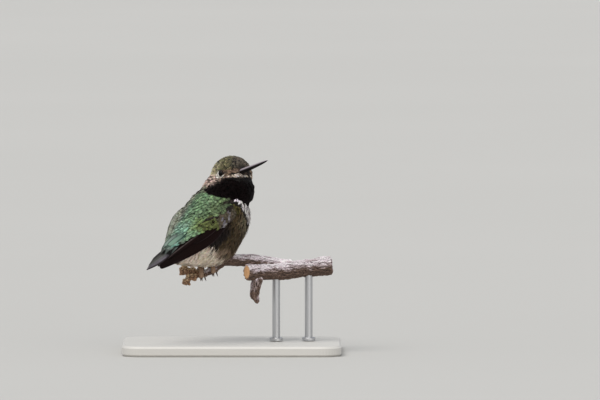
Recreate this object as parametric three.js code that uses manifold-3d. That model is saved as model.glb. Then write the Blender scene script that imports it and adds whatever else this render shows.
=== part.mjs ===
// A male broad-tailed hummingbird at life size, perched on a short length of
// branch that a plain display stand holds up. It is a still museum model.
//
// Millimetres, +Z up. The origin is the middle of the underside of the base.
// The bird faces +X and away along +Y; its head is turned back over its right
// shoulder, so that the bill points along +X and -Y.

import * as THREE from 'three';
import { mergeVertices } from 'three/addons/utils/BufferGeometryUtils.js';
import Module from 'manifold-3d';

const wasm = await Module();
wasm.setup();

// ---- Driving dimensions ----

const GAP = 0.3;
const FINE_GAP = 0.16;

const TRUNK_YAW = 54;
const TRUNK_PITCH = 42;
const TRUNK_CENTRE = [-9.2, 2, 46.2];

const HEAD_YAW = -54;
const HEAD_PITCH = 16.4;
const HEAD_CENTRE = [-0.2, 10, 67.2];
const HEAD_LENGTH = 16.9;
const HEAD_WIDTH = 16.2;
const HEAD_HEIGHT = 16;

const THROAT_CENTRE = [1.1, 2, -5.2];
const THROAT_LENGTH = 15.6;
const THROAT_WIDTH = 19.2;
const THROAT_HEIGHT = 13.4;

const BILL_BASE_WIDTH = 2.3;
const BILL_BASE_DEPTH = 1.9;
const BILL_TIP_DEPTH = 0.75;
const BILL_ROOT = 6.6;
const BILL_REACH = 24.9;
const UPPER_BILL_SHARE = 0.56;
const LOWER_BILL_SHORTER = 0.5;
const BILL_TIP_ROUNDING = 0.6;

const EYE_DIAMETER = 4;
const EYE_FORWARD = 2.5;
const EYE_OUT = 5.9;
const EYE_UP = 0.45;

const TOE_LENGTH = 4.4;
const TOE_RADIUS = 0.48;
const CLAW_LENGTH = 2.1;
const CLAW_RADIUS = 0.34;
const CLAW_TIP_RADIUS = 0.14;
const TARSUS_RADIUS = 0.75;
const TARSUS_SHOWN = 1.3;
const TOE_WRAP = 2.2;
const FRONT_TOE_SPREAD = [-20, 0, 20];
const HIND_TOE_SPREAD = 5;
const LEG_PLACES = { leg_right: -7.6, leg_left: -12.1 };

const BASE_LENGTH = 84;
const BASE_WIDTH = 62;
const BASE_THICKNESS = 4;
const BASE_CORNER = 8;
const BASE_BEVEL = 0.8;
const ROD_RADIUS = 1.5;
const ROD_TOP = 31;
const ROD_PLACES = [[17, 1.4], [29.5, 2.8]];

// ---- Frames: forward, right and up of the trunk and of the head ----

function animalFrame(centre, yawDegrees, pitchDegrees) {
  const yaw = THREE.MathUtils.degToRad(yawDegrees);
  const pitch = THREE.MathUtils.degToRad(pitchDegrees);
  const level = new THREE.Vector3(Math.cos(yaw), Math.sin(yaw), 0);
  const upright = new THREE.Vector3(0, 0, 1);
  return {
    origin: new THREE.Vector3(...centre),
    forward: level.clone().multiplyScalar(Math.cos(pitch)).addScaledVector(upright, Math.sin(pitch)),
    right: new THREE.Vector3(Math.sin(yaw), -Math.cos(yaw), 0),
    up: level.clone().multiplyScalar(-Math.sin(pitch)).addScaledVector(upright, Math.cos(pitch)),
  };
}

const trunkFrame = animalFrame(TRUNK_CENTRE, TRUNK_YAW, TRUNK_PITCH);
const headFrame = animalFrame(HEAD_CENTRE, HEAD_YAW, HEAD_PITCH);
const worldFrame = {
  origin: new THREE.Vector3(0, 0, 0),
  forward: new THREE.Vector3(1, 0, 0),
  right: new THREE.Vector3(0, -1, 0),
  up: new THREE.Vector3(0, 0, 1),
};

function place(frame, [forward, right, up]) {
  return frame.origin.clone()
    .addScaledVector(frame.forward, forward)
    .addScaledVector(frame.right, right)
    .addScaledVector(frame.up, up);
}

// ---- Solids ----

function signedVolume(points, triangles) {
  let volume = 0;
  for (const [a, b, c] of triangles) {
    volume += points[a].dot(points[b].clone().cross(points[c])) / 6;
  }
  return volume;
}

function geometryOf(points, triangles) {
  const outward = signedVolume(points, triangles) > 0;
  const geometry = new THREE.BufferGeometry();
  geometry.setAttribute('position', new THREE.Float32BufferAttribute(points.flatMap((p) => p.toArray()), 3));
  geometry.setIndex(triangles.flatMap(([a, b, c]) => (outward ? [a, b, c] : [a, c, b])));
  return geometry;
}

// Skins a row of closed loops and caps both ends.
function skinRings(rings) {
  const sides = rings[0].length;
  const points = rings.flat();
  const triangles = [];
  for (let ring = 0; ring < rings.length - 1; ring += 1) {
    for (let side = 0; side < sides; side += 1) {
      const next = (side + 1) % sides;
      const a = ring * sides + side;
      const b = ring * sides + next;
      triangles.push([a, b, b + sides], [a, b + sides, a + sides]);
    }
  }
  const last = (rings.length - 1) * sides;
  for (const [start, flip] of [[0, true], [last, false]]) {
    const middle = new THREE.Vector3();
    for (let side = 0; side < sides; side += 1) {
      middle.addScaledVector(points[start + side], 1 / sides);
    }
    points.push(middle);
    const centre = points.length - 1;
    for (let side = 0; side < sides; side += 1) {
      const here = start + side;
      const next = start + (side + 1) % sides;
      triangles.push(flip ? [centre, next, here] : [centre, here, next]);
    }
  }
  return geometryOf(points, triangles);
}

// A smooth curve through evenly spaced values, for t from 0 to 1.
function curveThrough(values, t) {
  const span = values.length - 1;
  const index = Math.min(Math.floor(t * span), span - 1);
  const local = t * span - index;
  const before = values[Math.max(index - 1, 0)];
  const after = values[Math.min(index + 2, span)];
  const [p, q] = [values[index], values[index + 1]];
  const slopeP = (q - before) / 2;
  const slopeQ = (after - p) / 2;
  const square = local * local;
  const cube = square * local;
  return (2 * cube - 3 * square + 1) * p + (cube - 2 * square + local) * slopeP
    + (3 * square - 2 * cube) * q + (cube - square) * slopeQ;
}

// A loft passes through stations. A station is a cross-section: where its
// middle is, its half width to each side, and its half height above and below.
function loftStations(frame, stations, { sides, rings, grow = 0 }) {
  const field = (name, t) => curveThrough(stations.map((station) => station[name]), t);
  const sense = Math.sign(stations.at(-1).along - stations[0].along);
  const shape = [];
  for (let ring = 0; ring <= rings; ring += 1) {
    const t = ring / rings;
    const end = (ring === 0 ? -grow : 0) + (ring === rings ? grow : 0);
    const loop = [];
    for (let side = 0; side < sides; side += 1) {
      const angle = (side / sides) * 2 * Math.PI;
      const rise = Math.sin(angle);
      const high = rise > 0 ? field('high', t) : field('low', t);
      loop.push(place(frame, [
        field('along', t) + sense * end,
        field('aside', t) + Math.cos(angle) * (field('wide', t) + grow),
        field('rise', t) + rise * (high + grow),
      ]));
    }
    shape.push(loop);
  }
  return skinRings(shape);
}

function station(along, aside, rise, wide, high, low = high) {
  return { along, aside, rise, wide, high, low };
}

// A blade is a lens-shaped bar between two edges, such as a folded wing.
function loftBlade(frame, lowerEdge, upperEdge, thicknesses, { sides, rings, grow = 0 }) {
  const along = (edge, t) => place(frame, [0, 1, 2].map((axis) => curveThrough(edge.map((p) => p[axis]), t)));
  const step = 0.01;
  const shape = [];
  for (let ring = 0; ring <= rings; ring += 1) {
    const t = ring / rings;
    const lower = along(lowerEdge, t);
    const upper = along(upperEdge, t);
    const middle = lower.clone().add(upper).multiplyScalar(0.5);
    const ahead = along(lowerEdge, Math.min(t + step, 1)).add(along(upperEdge, Math.min(t + step, 1)));
    const behind = along(lowerEdge, Math.max(t - step, 0)).add(along(upperEdge, Math.max(t - step, 0)));
    const half = upper.clone().sub(lower).multiplyScalar(0.5);
    const normal = ahead.sub(behind).cross(half).normalize();
    const thick = curveThrough(thicknesses, t) / 2 + grow;
    half.setLength(half.length() + grow);
    const loop = [];
    for (let side = 0; side < sides; side += 1) {
      const angle = (side / sides) * 2 * Math.PI;
      loop.push(middle.clone()
        .addScaledVector(half, Math.cos(angle))
        .addScaledVector(normal, Math.sin(angle) * thick));
    }
    shape.push(loop);
  }
  return skinRings(shape);
}

// A limb is a round bar along a curve, uneven like bark where it has knobs.
const KNOB_RHYTHM = 1.9;
const SWELL_RHYTHM = 0.7;

function limb(points, radii, { sides, rings, grow = 0, knobs = 0 }) {
  const curve = new THREE.CatmullRomCurve3(points);
  const frames = curve.computeFrenetFrames(rings, false);
  const shape = [];
  for (let ring = 0; ring <= rings; ring += 1) {
    const t = ring / rings;
    const centre = curve.getPointAt(t);
    if (ring === 0) {
      centre.addScaledVector(frames.tangents[0], -grow);
    }
    if (ring === rings) {
      centre.addScaledVector(frames.tangents[rings], grow);
    }
    const unevenness = knobs * Math.sin(ring * KNOB_RHYTHM) * Math.sin(ring * SWELL_RHYTHM);
    const radius = curveThrough(radii, t) * (1 + unevenness) + grow;
    const loop = [];
    for (let side = 0; side < sides; side += 1) {
      const angle = (side / sides) * 2 * Math.PI;
      loop.push(centre.clone()
        .addScaledVector(frames.normals[ring], Math.cos(angle) * radius)
        .addScaledVector(frames.binormals[ring], Math.sin(angle) * radius));
    }
    shape.push(loop);
  }
  return skinRings(shape);
}

// A ball stretched to a size in a frame, and shaped by a function of the unit ball.
function roundForm(
  frame, centre, [length, width, height], { grow = 0, across = 20, down = 13, shape = null },
) {
  const ball = new THREE.SphereGeometry(1, across, down);
  ball.deleteAttribute('normal');
  ball.deleteAttribute('uv');
  const merged = mergeVertices(ball, 1e-4);
  const position = merged.getAttribute('position');
  for (let index = 0; index < position.count; index += 1) {
    let unit = new THREE.Vector3().fromBufferAttribute(position, index);
    if (shape) {
      unit = shape(unit);
    }
    const point = place(frame, [
      centre[0] + unit.x * (length / 2 + grow),
      centre[1] + unit.y * (width / 2 + grow),
      centre[2] + unit.z * (height / 2 + grow),
    ]);
    position.setXYZ(index, point.x, point.y, point.z);
  }
  const points = [];
  for (let index = 0; index < position.count; index += 1) {
    points.push(new THREE.Vector3().fromBufferAttribute(position, index));
  }
  const flat = Array.from(merged.getIndex().array);
  const triangles = [];
  for (let index = 0; index < flat.length; index += 3) {
    triangles.push(flat.slice(index, index + 3));
  }
  return geometryOf(points, triangles);
}

// ---- Joining and cutting ----

function solid(geometry) {
  const bare = geometry.clone();
  bare.deleteAttribute('normal');
  bare.deleteAttribute('uv');
  const merged = mergeVertices(bare, 1e-4);
  return new wasm.Manifold(new wasm.Mesh({
    numProp: 3,
    vertProperties: new Float32Array(merged.getAttribute('position').array),
    triVerts: new Uint32Array(merged.getIndex().array),
  }));
}

function geometryOfSolid(manifold) {
  const mesh = manifold.getMesh();
  const geometry = new THREE.BufferGeometry();
  geometry.setAttribute('position', new THREE.Float32BufferAttribute(mesh.vertProperties, 3));
  geometry.setIndex(Array.from(mesh.triVerts));
  return geometry;
}

function largestPiece(manifold) {
  const pieces = manifold.decompose();
  return pieces.reduce((best, piece) => (piece.volume() > best.volume() ? piece : best));
}

function cut(geometry, cutters) {
  let result = solid(geometry);
  for (const cutter of cutters) {
    result = result.subtract(solid(cutter));
  }
  return geometryOfSolid(largestPiece(result));
}

function join(geometries) {
  return geometryOfSolid(geometries.map(solid).reduce((whole, piece) => whole.add(piece)));
}

// ---- The bird's body ----

const TRUNK_STATIONS = [
  station(18, 0, 2.2, 3.6, 3),
  station(15.5, 0.5, 2.2, 10.3, 7.6, 10.2),
  station(10.5, 0.4, 1.6, 12.7, 10.6, 13.4),
  station(4, 0, 0.8, 13, 12, 14.2),
  station(-3, 0, 0.4, 12.9, 12.3, 13.8),
  station(-9, 0, 1.4, 11.8, 11.4, 11.8),
  station(-14, 0, 3.8, 9.4, 8.8, 8.6),
  station(-17, 0, 5.6, 4.8, 4.6, 4.4),
];

const NECK_STATIONS = [
  station(70, -1, -9.6, 5, 6),
  station(66, -1.6, -9.6, 8.2, 7.6),
  station(61.5, -3.2, -9, 9.8, 8.6, 8.8),
  station(57, -4.4, -7.6, 11, 10, 9),
  station(53, -5, -6.6, 8, 7),
];

const RUMP_STATIONS = [
  station(-8, 0, 5, 6.5, 5.5),
  station(-13, 0, 5.6, 7.4, 6.2, 6.6),
  station(-18, 0, 8.2, 5.8, 4.4, 5),
  station(-22.5, 0, 11, 4.4, 2.2, 2.6),
  station(-24, 0, 11.8, 2, 0.9),
];

const VENT_STATIONS = [
  station(-6, 0, -4, 8, 5),
  station(-12, 0, -0.8, 7.8, 5.4, 6),
  station(-17, 0, 3, 6.2, 4.6, 4.9),
  station(-22, 0, 7, 4.2, 2.8, 2.8),
  station(-26, 0, 10, 1.4, 0.9, 1),
];

// The neck stands upright, so its stations run along the world's up.
const neckFrame = {
  origin: new THREE.Vector3(0, 0, 0),
  forward: new THREE.Vector3(0, 0, 1),
  right: new THREE.Vector3(1, 0, 0),
  up: new THREE.Vector3(0, -1, 0),
};

function faceTaper(unit) {
  const forward = Math.max(0, unit.x);
  const narrowing = 1 - 0.08 * forward ** 3;
  return new THREE.Vector3(unit.x, unit.y * narrowing, unit.z);
}

// The gorget is flat on top, under the eyes, and hangs lowest in front, where the turned head bunches it.
function gorgetHang(unit) {
  const bunch = 1.3 * Math.max(0, -unit.y) * Math.max(0, unit.x);
  const stretch = unit.z > 0 ? 0.72 : 1 + 0.2 * unit.x + bunch;
  return new THREE.Vector3(unit.x, unit.y, unit.z * stretch);
}

const headSize = [HEAD_LENGTH, HEAD_WIDTH, HEAD_HEIGHT];
const throatSize = [THROAT_LENGTH, THROAT_WIDTH, THROAT_HEIGHT];

function headForm(grow = 0) {
  return roundForm(headFrame, [0, 0, 0], headSize, { grow, shape: faceTaper });
}

function throatForm(grow = 0) {
  return roundForm(headFrame, THROAT_CENTRE, throatSize, { grow, across: 20, down: 12, shape: gorgetHang });
}

function trunkForm(grow = 0) {
  return loftStations(trunkFrame, TRUNK_STATIONS, { sides: 24, rings: 14, grow });
}

function rumpForm(grow = 0) {
  return loftStations(trunkFrame, RUMP_STATIONS, { sides: 16, rings: 8, grow });
}

function neckForm(grow = 0) {
  return loftStations(neckFrame, NECK_STATIONS, { sides: 20, rings: 7, grow });
}

function eyeBall(side, grow = 0) {
  const size = EYE_DIAMETER;
  const centre = [EYE_FORWARD, side * EYE_OUT, EYE_UP];
  return roundForm(headFrame, centre, [size, size, size], { grow, across: 12, down: 8 });
}

// ---- Bill ----

function billHalf(sense) {
  const rings = 7;
  const sides = 12;
  const shape = [];
  for (let ring = 0; ring <= rings; ring += 1) {
    const t = ring / rings;
    const width = THREE.MathUtils.lerp(BILL_BASE_WIDTH, BILL_TIP_DEPTH, Math.sqrt(t));
    const depth = THREE.MathUtils.lerp(BILL_BASE_DEPTH, BILL_TIP_DEPTH, Math.sqrt(t));
    const share = sense > 0 ? UPPER_BILL_SHARE : 1 - UPPER_BILL_SHARE;
    const round = ring === rings ? BILL_TIP_ROUNDING : 1;
    const shorter = sense > 0 ? 0 : LOWER_BILL_SHORTER;
    const loop = [];
    for (let side = 0; side < sides; side += 1) {
      const angle = (side / sides) * 2 * Math.PI;
      const rise = Math.sin(angle) * sense;
      const height = rise > 0 ? Math.sin(angle) * depth * share * round : 0;
      loop.push(place(headFrame, [
        BILL_ROOT + t * (BILL_REACH - BILL_ROOT - shorter),
        Math.cos(angle) * (width / 2) * round,
        height + sense * (FINE_GAP / 2),
      ]));
    }
    shape.push(loop);
  }
  return skinRings(shape);
}

function billSleeve() {
  const radius = BILL_BASE_WIDTH / 2 + FINE_GAP;
  const ends = [[BILL_ROOT - GAP, 0, 0], [BILL_REACH, 0, 0]];
  return limb(ends.map((end) => place(headFrame, end)), [radius, radius], { sides: 12, rings: 1 });
}

// ---- Wings and tail ----

const WING_LOWER = [
  [9, 10.4, 3.4], [3, 12.8, 4.6], [-4, 13.4, 5.6], [-11, 13, 5.6],
  [-18, 11.6, 6.9], [-25, 9.2, 9.3], [-31, 6.9, 12.1], [-35.5, 5.1, 14.4],
];
const WING_UPPER = [
  [9, 9.6, 6.4], [3, 9.8, 11], [-4, 9.4, 12.6], [-11, 8.2, 13.6],
  [-18, 6.4, 14.8], [-25, 4.9, 15.6], [-31, 4.1, 16.6], [-35, 4.1, 17],
];
const WING_THICKNESS = [1.4, 2.8, 3.2, 3, 2.4, 1.8, 1.3, 0.9];
const FAR_WING_CLOSER = 0.87;
const FAR_WING_LOWER = 1.7;
const FAR_WING_SHORTER = 0.83;
const FAR_WING_TUCK = [1, 3.2];

// The far wing is closer to the body, lower and shorter, and its hind half is tucked in against the rump.
function farWingPoint([forward, right, up]) {
  const behind = THREE.MathUtils.clamp((-forward - 5) / 24, 0, 1);
  return [
    forward < 0 ? forward * FAR_WING_SHORTER : forward,
    -right * FAR_WING_CLOSER + FAR_WING_TUCK[0] * behind,
    up - FAR_WING_LOWER - FAR_WING_TUCK[1] * behind,
  ];
}

function wingForm(side) {
  const [lower, upper] = side > 0
    ? [WING_LOWER, WING_UPPER]
    : [WING_LOWER.map(farWingPoint), WING_UPPER.map(farWingPoint)];
  return loftBlade(trunkFrame, lower, upper, WING_THICKNESS, { sides: 14, rings: 14 });
}

const TAIL_LEFT = [
  [-17, -3.4, 9.2], [-22, -4, 10.9], [-28, -3.7, 12.9], [-33, -2.9, 14.6], [-36.4, -2.1, 15.6],
];
const TAIL_RIGHT = [
  [-17, 3.4, 9.2], [-22, 4.2, 10.9], [-28, 3.8, 12.9], [-33, 1.9, 14.6], [-36.2, -1.1, 15.6],
];
const TAIL_THICKNESS = [2, 2.2, 1.9, 1.5, 0.9];

function tailForm(grow = 0) {
  return loftBlade(trunkFrame, TAIL_LEFT, TAIL_RIGHT, TAIL_THICKNESS, { sides: 14, rings: 11, grow });
}

// ---- Perch ----

const BOUGH_ROUTE = [[24, 2.4, 31.8], [13, 4.6, 33.9], [3, 4.6, 35.2], [-3.6, 3.2, 34.5], [-7.5, 1.8, 31.4],
  [-12, 0.4, 29.7], [-16, -0.6, 29.2], [-17.6, -0.8, 27.6]];
const BOUGH_RADII = [2.4, 2, 1.8, 1.5, 1.3, 1.2, 0.95, 0.9];
const SPUR_ROUTE = [[-13, 0.2, 30], [-14.8, -0.4, 31.4], [-17.6, -0.8, 31.3]];
const SPUR_RADII = [0.9, 0.7, 0.8];
// Old bud knobs at the bough's tip: x, y, z and radius.
const KNOBS = [[-18.4, -0.8, 31.4, 1.6], [-17.5, -0.8, 27.2, 1.35], [-15, -0.3, 29.2, 1.35]];
const LIMB_ROUTE = [[5.7, -4.2, 31], [12, -1.2, 30.8], [21, 1.6, 31.2], [29, 2.8, 32.2], [38, 3, 33.2]];
const LIMB_RADII = [2.6, 2.6, 2.9, 2.9, 3.3];
const TWIG_ROUTE = [[10, -2.4, 29.2], [9.2, -3.2, 25.6], [8.6, -3.6, 22.6], [9.6, -3.8, 19.6]];
const TWIG_RADII = [1.6, 1.35, 1.15, 0.55];

function vectors(route) {
  return route.map((point) => new THREE.Vector3(...point));
}

function boughForm(grow = 0) {
  return limb(vectors(BOUGH_ROUTE), BOUGH_RADII, { sides: 10, rings: 16, grow, knobs: 0.07 });
}

function limbForm(grow = 0) {
  return limb(vectors(LIMB_ROUTE), LIMB_RADII, { sides: 14, rings: 12, grow, knobs: 0.05 });
}

function knobForms(grow = 0) {
  return KNOBS.map(([x, y, z, radius]) => roundForm(
    worldFrame,
    [x, -y, z],
    [radius * 2, radius * 1.9, radius * 2.1],
    { grow, across: 8, down: 5 },
  ));
}

function spurForm(grow = 0) {
  return limb(vectors(SPUR_ROUTE), SPUR_RADII, { sides: 8, rings: 4, grow });
}

function boughAndSpurs(grow = 0) {
  return join([boughForm(grow), spurForm(grow), ...knobForms(grow)]);
}

// ---- Legs and feet ----

// A toe starts over the bough and wraps round it, ending in its claw: the
// front toes pass over the far side and the hind toe over the near side.
function boughMiddleAt(x) {
  const curve = new THREE.CatmullRomCurve3(vectors(BOUGH_ROUTE));
  const samples = curve.getSpacedPoints(200);
  return samples.reduce((best, point) => (Math.abs(point.x - x) < Math.abs(best.x - x) ? point : best));
}

function toe(centre, sense, spreadDegrees) {
  const spread = THREE.MathUtils.degToRad(spreadDegrees);
  const steps = 5;
  const wholeTurn = (TOE_LENGTH + CLAW_LENGTH) / TOE_WRAP;
  const points = [];
  for (let step = 0; step <= steps; step += 1) {
    const angle = (step / steps) * wholeTurn;
    points.push(new THREE.Vector3(
      centre.x + Math.sin(spread) * angle * TOE_WRAP,
      centre.y + sense * Math.sin(angle) * TOE_WRAP,
      centre.z + Math.cos(angle) * TOE_WRAP,
    ));
  }
  const radii = [TOE_RADIUS, TOE_RADIUS, TOE_RADIUS, TOE_RADIUS, CLAW_RADIUS, CLAW_TIP_RADIUS];
  return limb(points, radii, { sides: 6, rings: 7 });
}

function legForm(x) {
  const centre = boughMiddleAt(x);
  const toes = FRONT_TOE_SPREAD.map((spread) => toe(centre, 1, spread));
  const hindToe = toe(centre, -1, HIND_TOE_SPREAD);
  const ankle = centre.clone().add(new THREE.Vector3(0, 0, TOE_WRAP));
  const knee = ankle.clone().add(new THREE.Vector3(0, 0, TARSUS_SHOWN));
  const tarsus = limb([ankle, knee], [TARSUS_RADIUS, TARSUS_RADIUS], { sides: 10, rings: 1 });
  return cut(join([...toes, hindToe, tarsus]), [boughAndSpurs(GAP)]);
}

// The hollow under the belly feathers that a foot sits in.
function legRoom(x) {
  const centre = boughMiddleAt(x);
  const top = TOE_WRAP + TARSUS_SHOWN + GAP;
  const size = [6.4, 7.6, 2 * top];
  return roundForm(worldFrame, [centre.x, -centre.y, centre.z], size, { across: 12, down: 8 });
}

// ---- Stand ----

function baseForm() {
  const halfLength = BASE_LENGTH / 2 - BASE_BEVEL;
  const halfWidth = BASE_WIDTH / 2 - BASE_BEVEL;
  const inner = BASE_CORNER - BASE_BEVEL;
  const outline = new THREE.Shape();
  outline.moveTo(-halfLength + inner, -halfWidth);
  outline.absarc(halfLength - inner, -halfWidth + inner, inner, -Math.PI / 2, 0);
  outline.absarc(halfLength - inner, halfWidth - inner, inner, 0, Math.PI / 2);
  outline.absarc(-halfLength + inner, halfWidth - inner, inner, Math.PI / 2, Math.PI);
  outline.absarc(-halfLength + inner, -halfWidth + inner, inner, Math.PI, 1.5 * Math.PI);
  const plate = new THREE.ExtrudeGeometry(outline, {
    depth: BASE_THICKNESS - 2 * BASE_BEVEL,
    bevelSize: BASE_BEVEL,
    bevelThickness: BASE_BEVEL,
    bevelSegments: 1,
    curveSegments: 5,
  });
  plate.translate(0, 0, BASE_BEVEL);
  return plate;
}

function rodForm([x, y]) {
  const bottom = BASE_THICKNESS + GAP;
  const top = ROD_TOP;
  const rod = new THREE.CylinderGeometry(ROD_RADIUS, ROD_RADIUS, top - bottom, 16);
  rod.rotateX(Math.PI / 2);
  rod.translate(x, y, (top + bottom) / 2);
  return cut(rod, [limbForm(GAP)]);
}

// ---- Materials and the finished group ----

const finishes = {
  crown: { color: 0x565b3a, roughness: 0.7 },
  gorget: { color: 0x170d14, roughness: 0.45 },
  back: { color: 0x2f7a4c, roughness: 0.5 },
  belly: { color: 0x6d6450, roughness: 0.85 },
  vent: { color: 0xc9b5a0, roughness: 0.85 },
  flight: { color: 0x221a24, roughness: 0.55 },
  tail: { color: 0x3b4350, roughness: 0.55 },
  eye: { color: 0x0c0809, roughness: 0.08 },
  bill: { color: 0x1f1a1c, roughness: 0.4 },
  foot: { color: 0x4a3a30, roughness: 0.6 },
  bark: { color: 0x8b8084, roughness: 0.9 },
  stand: { color: 0xd8d5cf, roughness: 0.5 },
  rod: { color: 0xb9babc, roughness: 0.3, metalness: 0.9 },
};

const bird = new THREE.Group();
bird.name = 'hummingbird';

function piece(name, geometry, finish) {
  const mesh = new THREE.Mesh(geometry, new THREE.MeshStandardMaterial(finishes[finish]));
  mesh.name = name;
  bird.add(mesh);
}

const bough = boughAndSpurs();
const boughRoom = boughAndSpurs(GAP);
const legsRoom = Object.values(LEG_PLACES).map(legRoom);

piece('head', cut(headForm(), [eyeBall(1, FINE_GAP), eyeBall(-1, FINE_GAP), billSleeve()]), 'crown');
piece('throat', cut(throatForm(), [headForm(GAP), billSleeve(), eyeBall(1, GAP)]), 'gorget');
piece('neck', cut(neckForm(), [headForm(GAP), throatForm(GAP), trunkForm(GAP)]), 'back');
piece('trunk', cut(trunkForm(), [throatForm(GAP), headForm(GAP), boughRoom, ...legsRoom]), 'belly');
piece('rump', cut(rumpForm(), [trunkForm(GAP)]), 'back');

const vent = loftStations(trunkFrame, VENT_STATIONS, { sides: 16, rings: 8 });
piece('vent', cut(vent, [trunkForm(GAP), rumpForm(GAP), boughRoom, ...legsRoom]), 'vent');
piece('tail', cut(tailForm(), [trunkForm(GAP), rumpForm(GAP)]), 'tail');

for (const [name, side] of [['wing_right', 1], ['wing_left', -1]]) {
  piece(name, cut(wingForm(side), [trunkForm(GAP), rumpForm(GAP), neckForm(GAP), tailForm(GAP)]), 'flight');
}

piece('eye_right', eyeBall(1), 'eye');
piece('eye_left', eyeBall(-1), 'eye');
piece('bill_upper', billHalf(1), 'bill');
piece('bill_lower', billHalf(-1), 'bill');

for (const [name, x] of Object.entries(LEG_PLACES)) {
  piece(name, legForm(x), 'foot');
}

piece('perch_bough', cut(bough, [limbForm(GAP)]), 'bark');
piece('perch_limb', limbForm(), 'bark');

const hangingTwig = limb(vectors(TWIG_ROUTE), TWIG_RADII, { sides: 10, rings: 8 });
piece('perch_twig', cut(hangingTwig, [limbForm(GAP)]), 'bark');

piece('stand_base', baseForm(), 'stand');
ROD_PLACES.forEach((spot, index) => piece(`stand_rod_${index + 1}`, rodForm(spot), 'rod'));

export default bird;
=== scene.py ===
# %% [markdown]
# # A broad-tailed hummingbird on its twig
# A still, life-size museum model: a small bird with its back to us and its head turned back over
# its shoulder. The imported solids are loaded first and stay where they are. They fix every size
# and place, and everything below is built around them, in metres, in the same frame.

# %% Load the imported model
import math
from itertools import product
import bmesh
import bpy
import numpy as np
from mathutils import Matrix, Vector, noise
from mathutils.bvhtree import BVHTree


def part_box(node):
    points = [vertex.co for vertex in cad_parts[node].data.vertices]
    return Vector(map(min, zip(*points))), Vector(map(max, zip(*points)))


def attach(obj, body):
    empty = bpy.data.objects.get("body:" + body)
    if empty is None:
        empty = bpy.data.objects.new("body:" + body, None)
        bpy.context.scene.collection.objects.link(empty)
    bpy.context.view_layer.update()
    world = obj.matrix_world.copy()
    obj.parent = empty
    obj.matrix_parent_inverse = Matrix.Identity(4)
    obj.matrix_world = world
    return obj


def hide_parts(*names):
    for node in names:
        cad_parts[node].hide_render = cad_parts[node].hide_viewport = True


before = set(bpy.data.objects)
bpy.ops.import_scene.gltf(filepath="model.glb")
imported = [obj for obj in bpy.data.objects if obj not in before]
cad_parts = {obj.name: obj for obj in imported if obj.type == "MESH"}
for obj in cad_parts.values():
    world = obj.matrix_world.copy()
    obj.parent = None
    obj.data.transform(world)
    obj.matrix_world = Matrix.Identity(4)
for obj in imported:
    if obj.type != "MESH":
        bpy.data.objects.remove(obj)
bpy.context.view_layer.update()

# %% [markdown]
# The bird is easiest to describe in its own directions. The trunk has one set of axes (forward,
# right, up) and the turned head another. Places are written in millimetres along those axes, and
# one small class carries them to the room and back.

# %% The trunk's and the head's own axes
MM = 0.001


class Axes:
    """Forward, right and up of one part of the bird, in millimetres from a centre."""

    def __init__(self, centre, yaw, pitch):
        y, p = math.radians(yaw), math.radians(pitch)
        self.centre = np.array(centre, float)
        self.rows = np.array([
            (math.cos(p) * math.cos(y), math.cos(p) * math.sin(y), math.sin(p)),
            (math.sin(y), -math.cos(y), 0),
            (-math.sin(p) * math.cos(y), -math.sin(p) * math.sin(y), math.cos(p))])

    def room(self, local):
        return self.centre + np.asarray(local, float) @ self.rows

    def local(self, room):
        return (np.asarray(room, float) - self.centre) @ self.rows.T


TRUNK = Axes((-9.2, 2, 46.2), 54, 42)
HEAD = Axes((-0.2, 10, 67.2), -54, 16.4)
print("trunk forward", TRUNK.rows[0].round(3), "head forward", HEAD.rows[0].round(3))

# %% [markdown]
# A few helpers keep the modelling short: one leaves a single object selected, one copies a solid
# so that its own mesh is never touched, and one applies a modifier as soon as it is set up. Others
# read and write the numbers of a mesh.

# %% Helpers for modelling
scene = bpy.context.scene
rng = np.random.default_rng(41)


def only(piece):
    """Leaves this one object selected and active."""
    bpy.ops.object.select_all(action="DESELECT")
    piece.select_set(True)
    bpy.context.view_layer.objects.active = piece
    return piece


def in_edit(piece, *steps):
    """Runs mesh operators on the whole of one object in edit mode."""
    only(piece)
    bpy.ops.object.mode_set(mode="EDIT")
    bpy.ops.mesh.select_all(action="SELECT")
    for step, settings in steps:
        step(**settings)
    bpy.ops.object.mode_set(mode="OBJECT")
    return piece


def modified(piece, kind, **settings):
    """Adds one modifier and applies it at once."""
    only(piece)
    modifier = piece.modifiers.new(kind.title(), kind)
    for key, value in settings.items():
        setattr(modifier, key, value)
    bpy.ops.object.modifier_apply(modifier=modifier.name)
    return piece


def node_copy(node, name):
    """A merged copy of one solid, in the same place."""
    piece = bpy.data.objects.new(name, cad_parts[node].data.copy())
    scene.collection.objects.link(piece)
    piece.data.materials.clear()
    return in_edit(piece, (bpy.ops.mesh.remove_doubles, {"threshold": 1e-6}))


def joined(pieces, name):
    """Several objects made one."""
    only(pieces[0])
    for piece in pieces[1:]:
        piece.select_set(True)
    bpy.ops.object.join()
    pieces[0].name = pieces[0].data.name = name
    return pieces[0]


print("modelling helpers ready")

# %% Helpers for numbers


def numbers(source, label, width, kind=np.float32):
    """One property of all the elements of a mesh, as an array."""
    values = np.empty(len(source) * width, kind)
    source.foreach_get(label, values)
    return values.reshape(-1, width)


def point_values(mesh, name, values):
    """Stores a number, or a colour with its alpha, for every point of a mesh."""
    values = np.asarray(values, np.float32)
    if values.ndim == 2:
        layer, label = mesh.color_attributes.new(name, "FLOAT_COLOR", "POINT"), "color"
    else:
        layer, label = mesh.attributes.new(name, "FLOAT", "POINT"), "value"
    layer.data.foreach_set(label, values.ravel())


def unit(v):
    """Vectors at length 1."""
    return v / np.maximum(np.linalg.norm(v, axis=-1, keepdims=True), 1e-9)


def ease(low, high, x):
    """0 below low, 1 above high, and a smooth step between."""
    t = np.clip((np.asarray(x, float) - low) / (high - low), 0, 1)
    return t * t * (3 - 2 * t)


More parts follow.
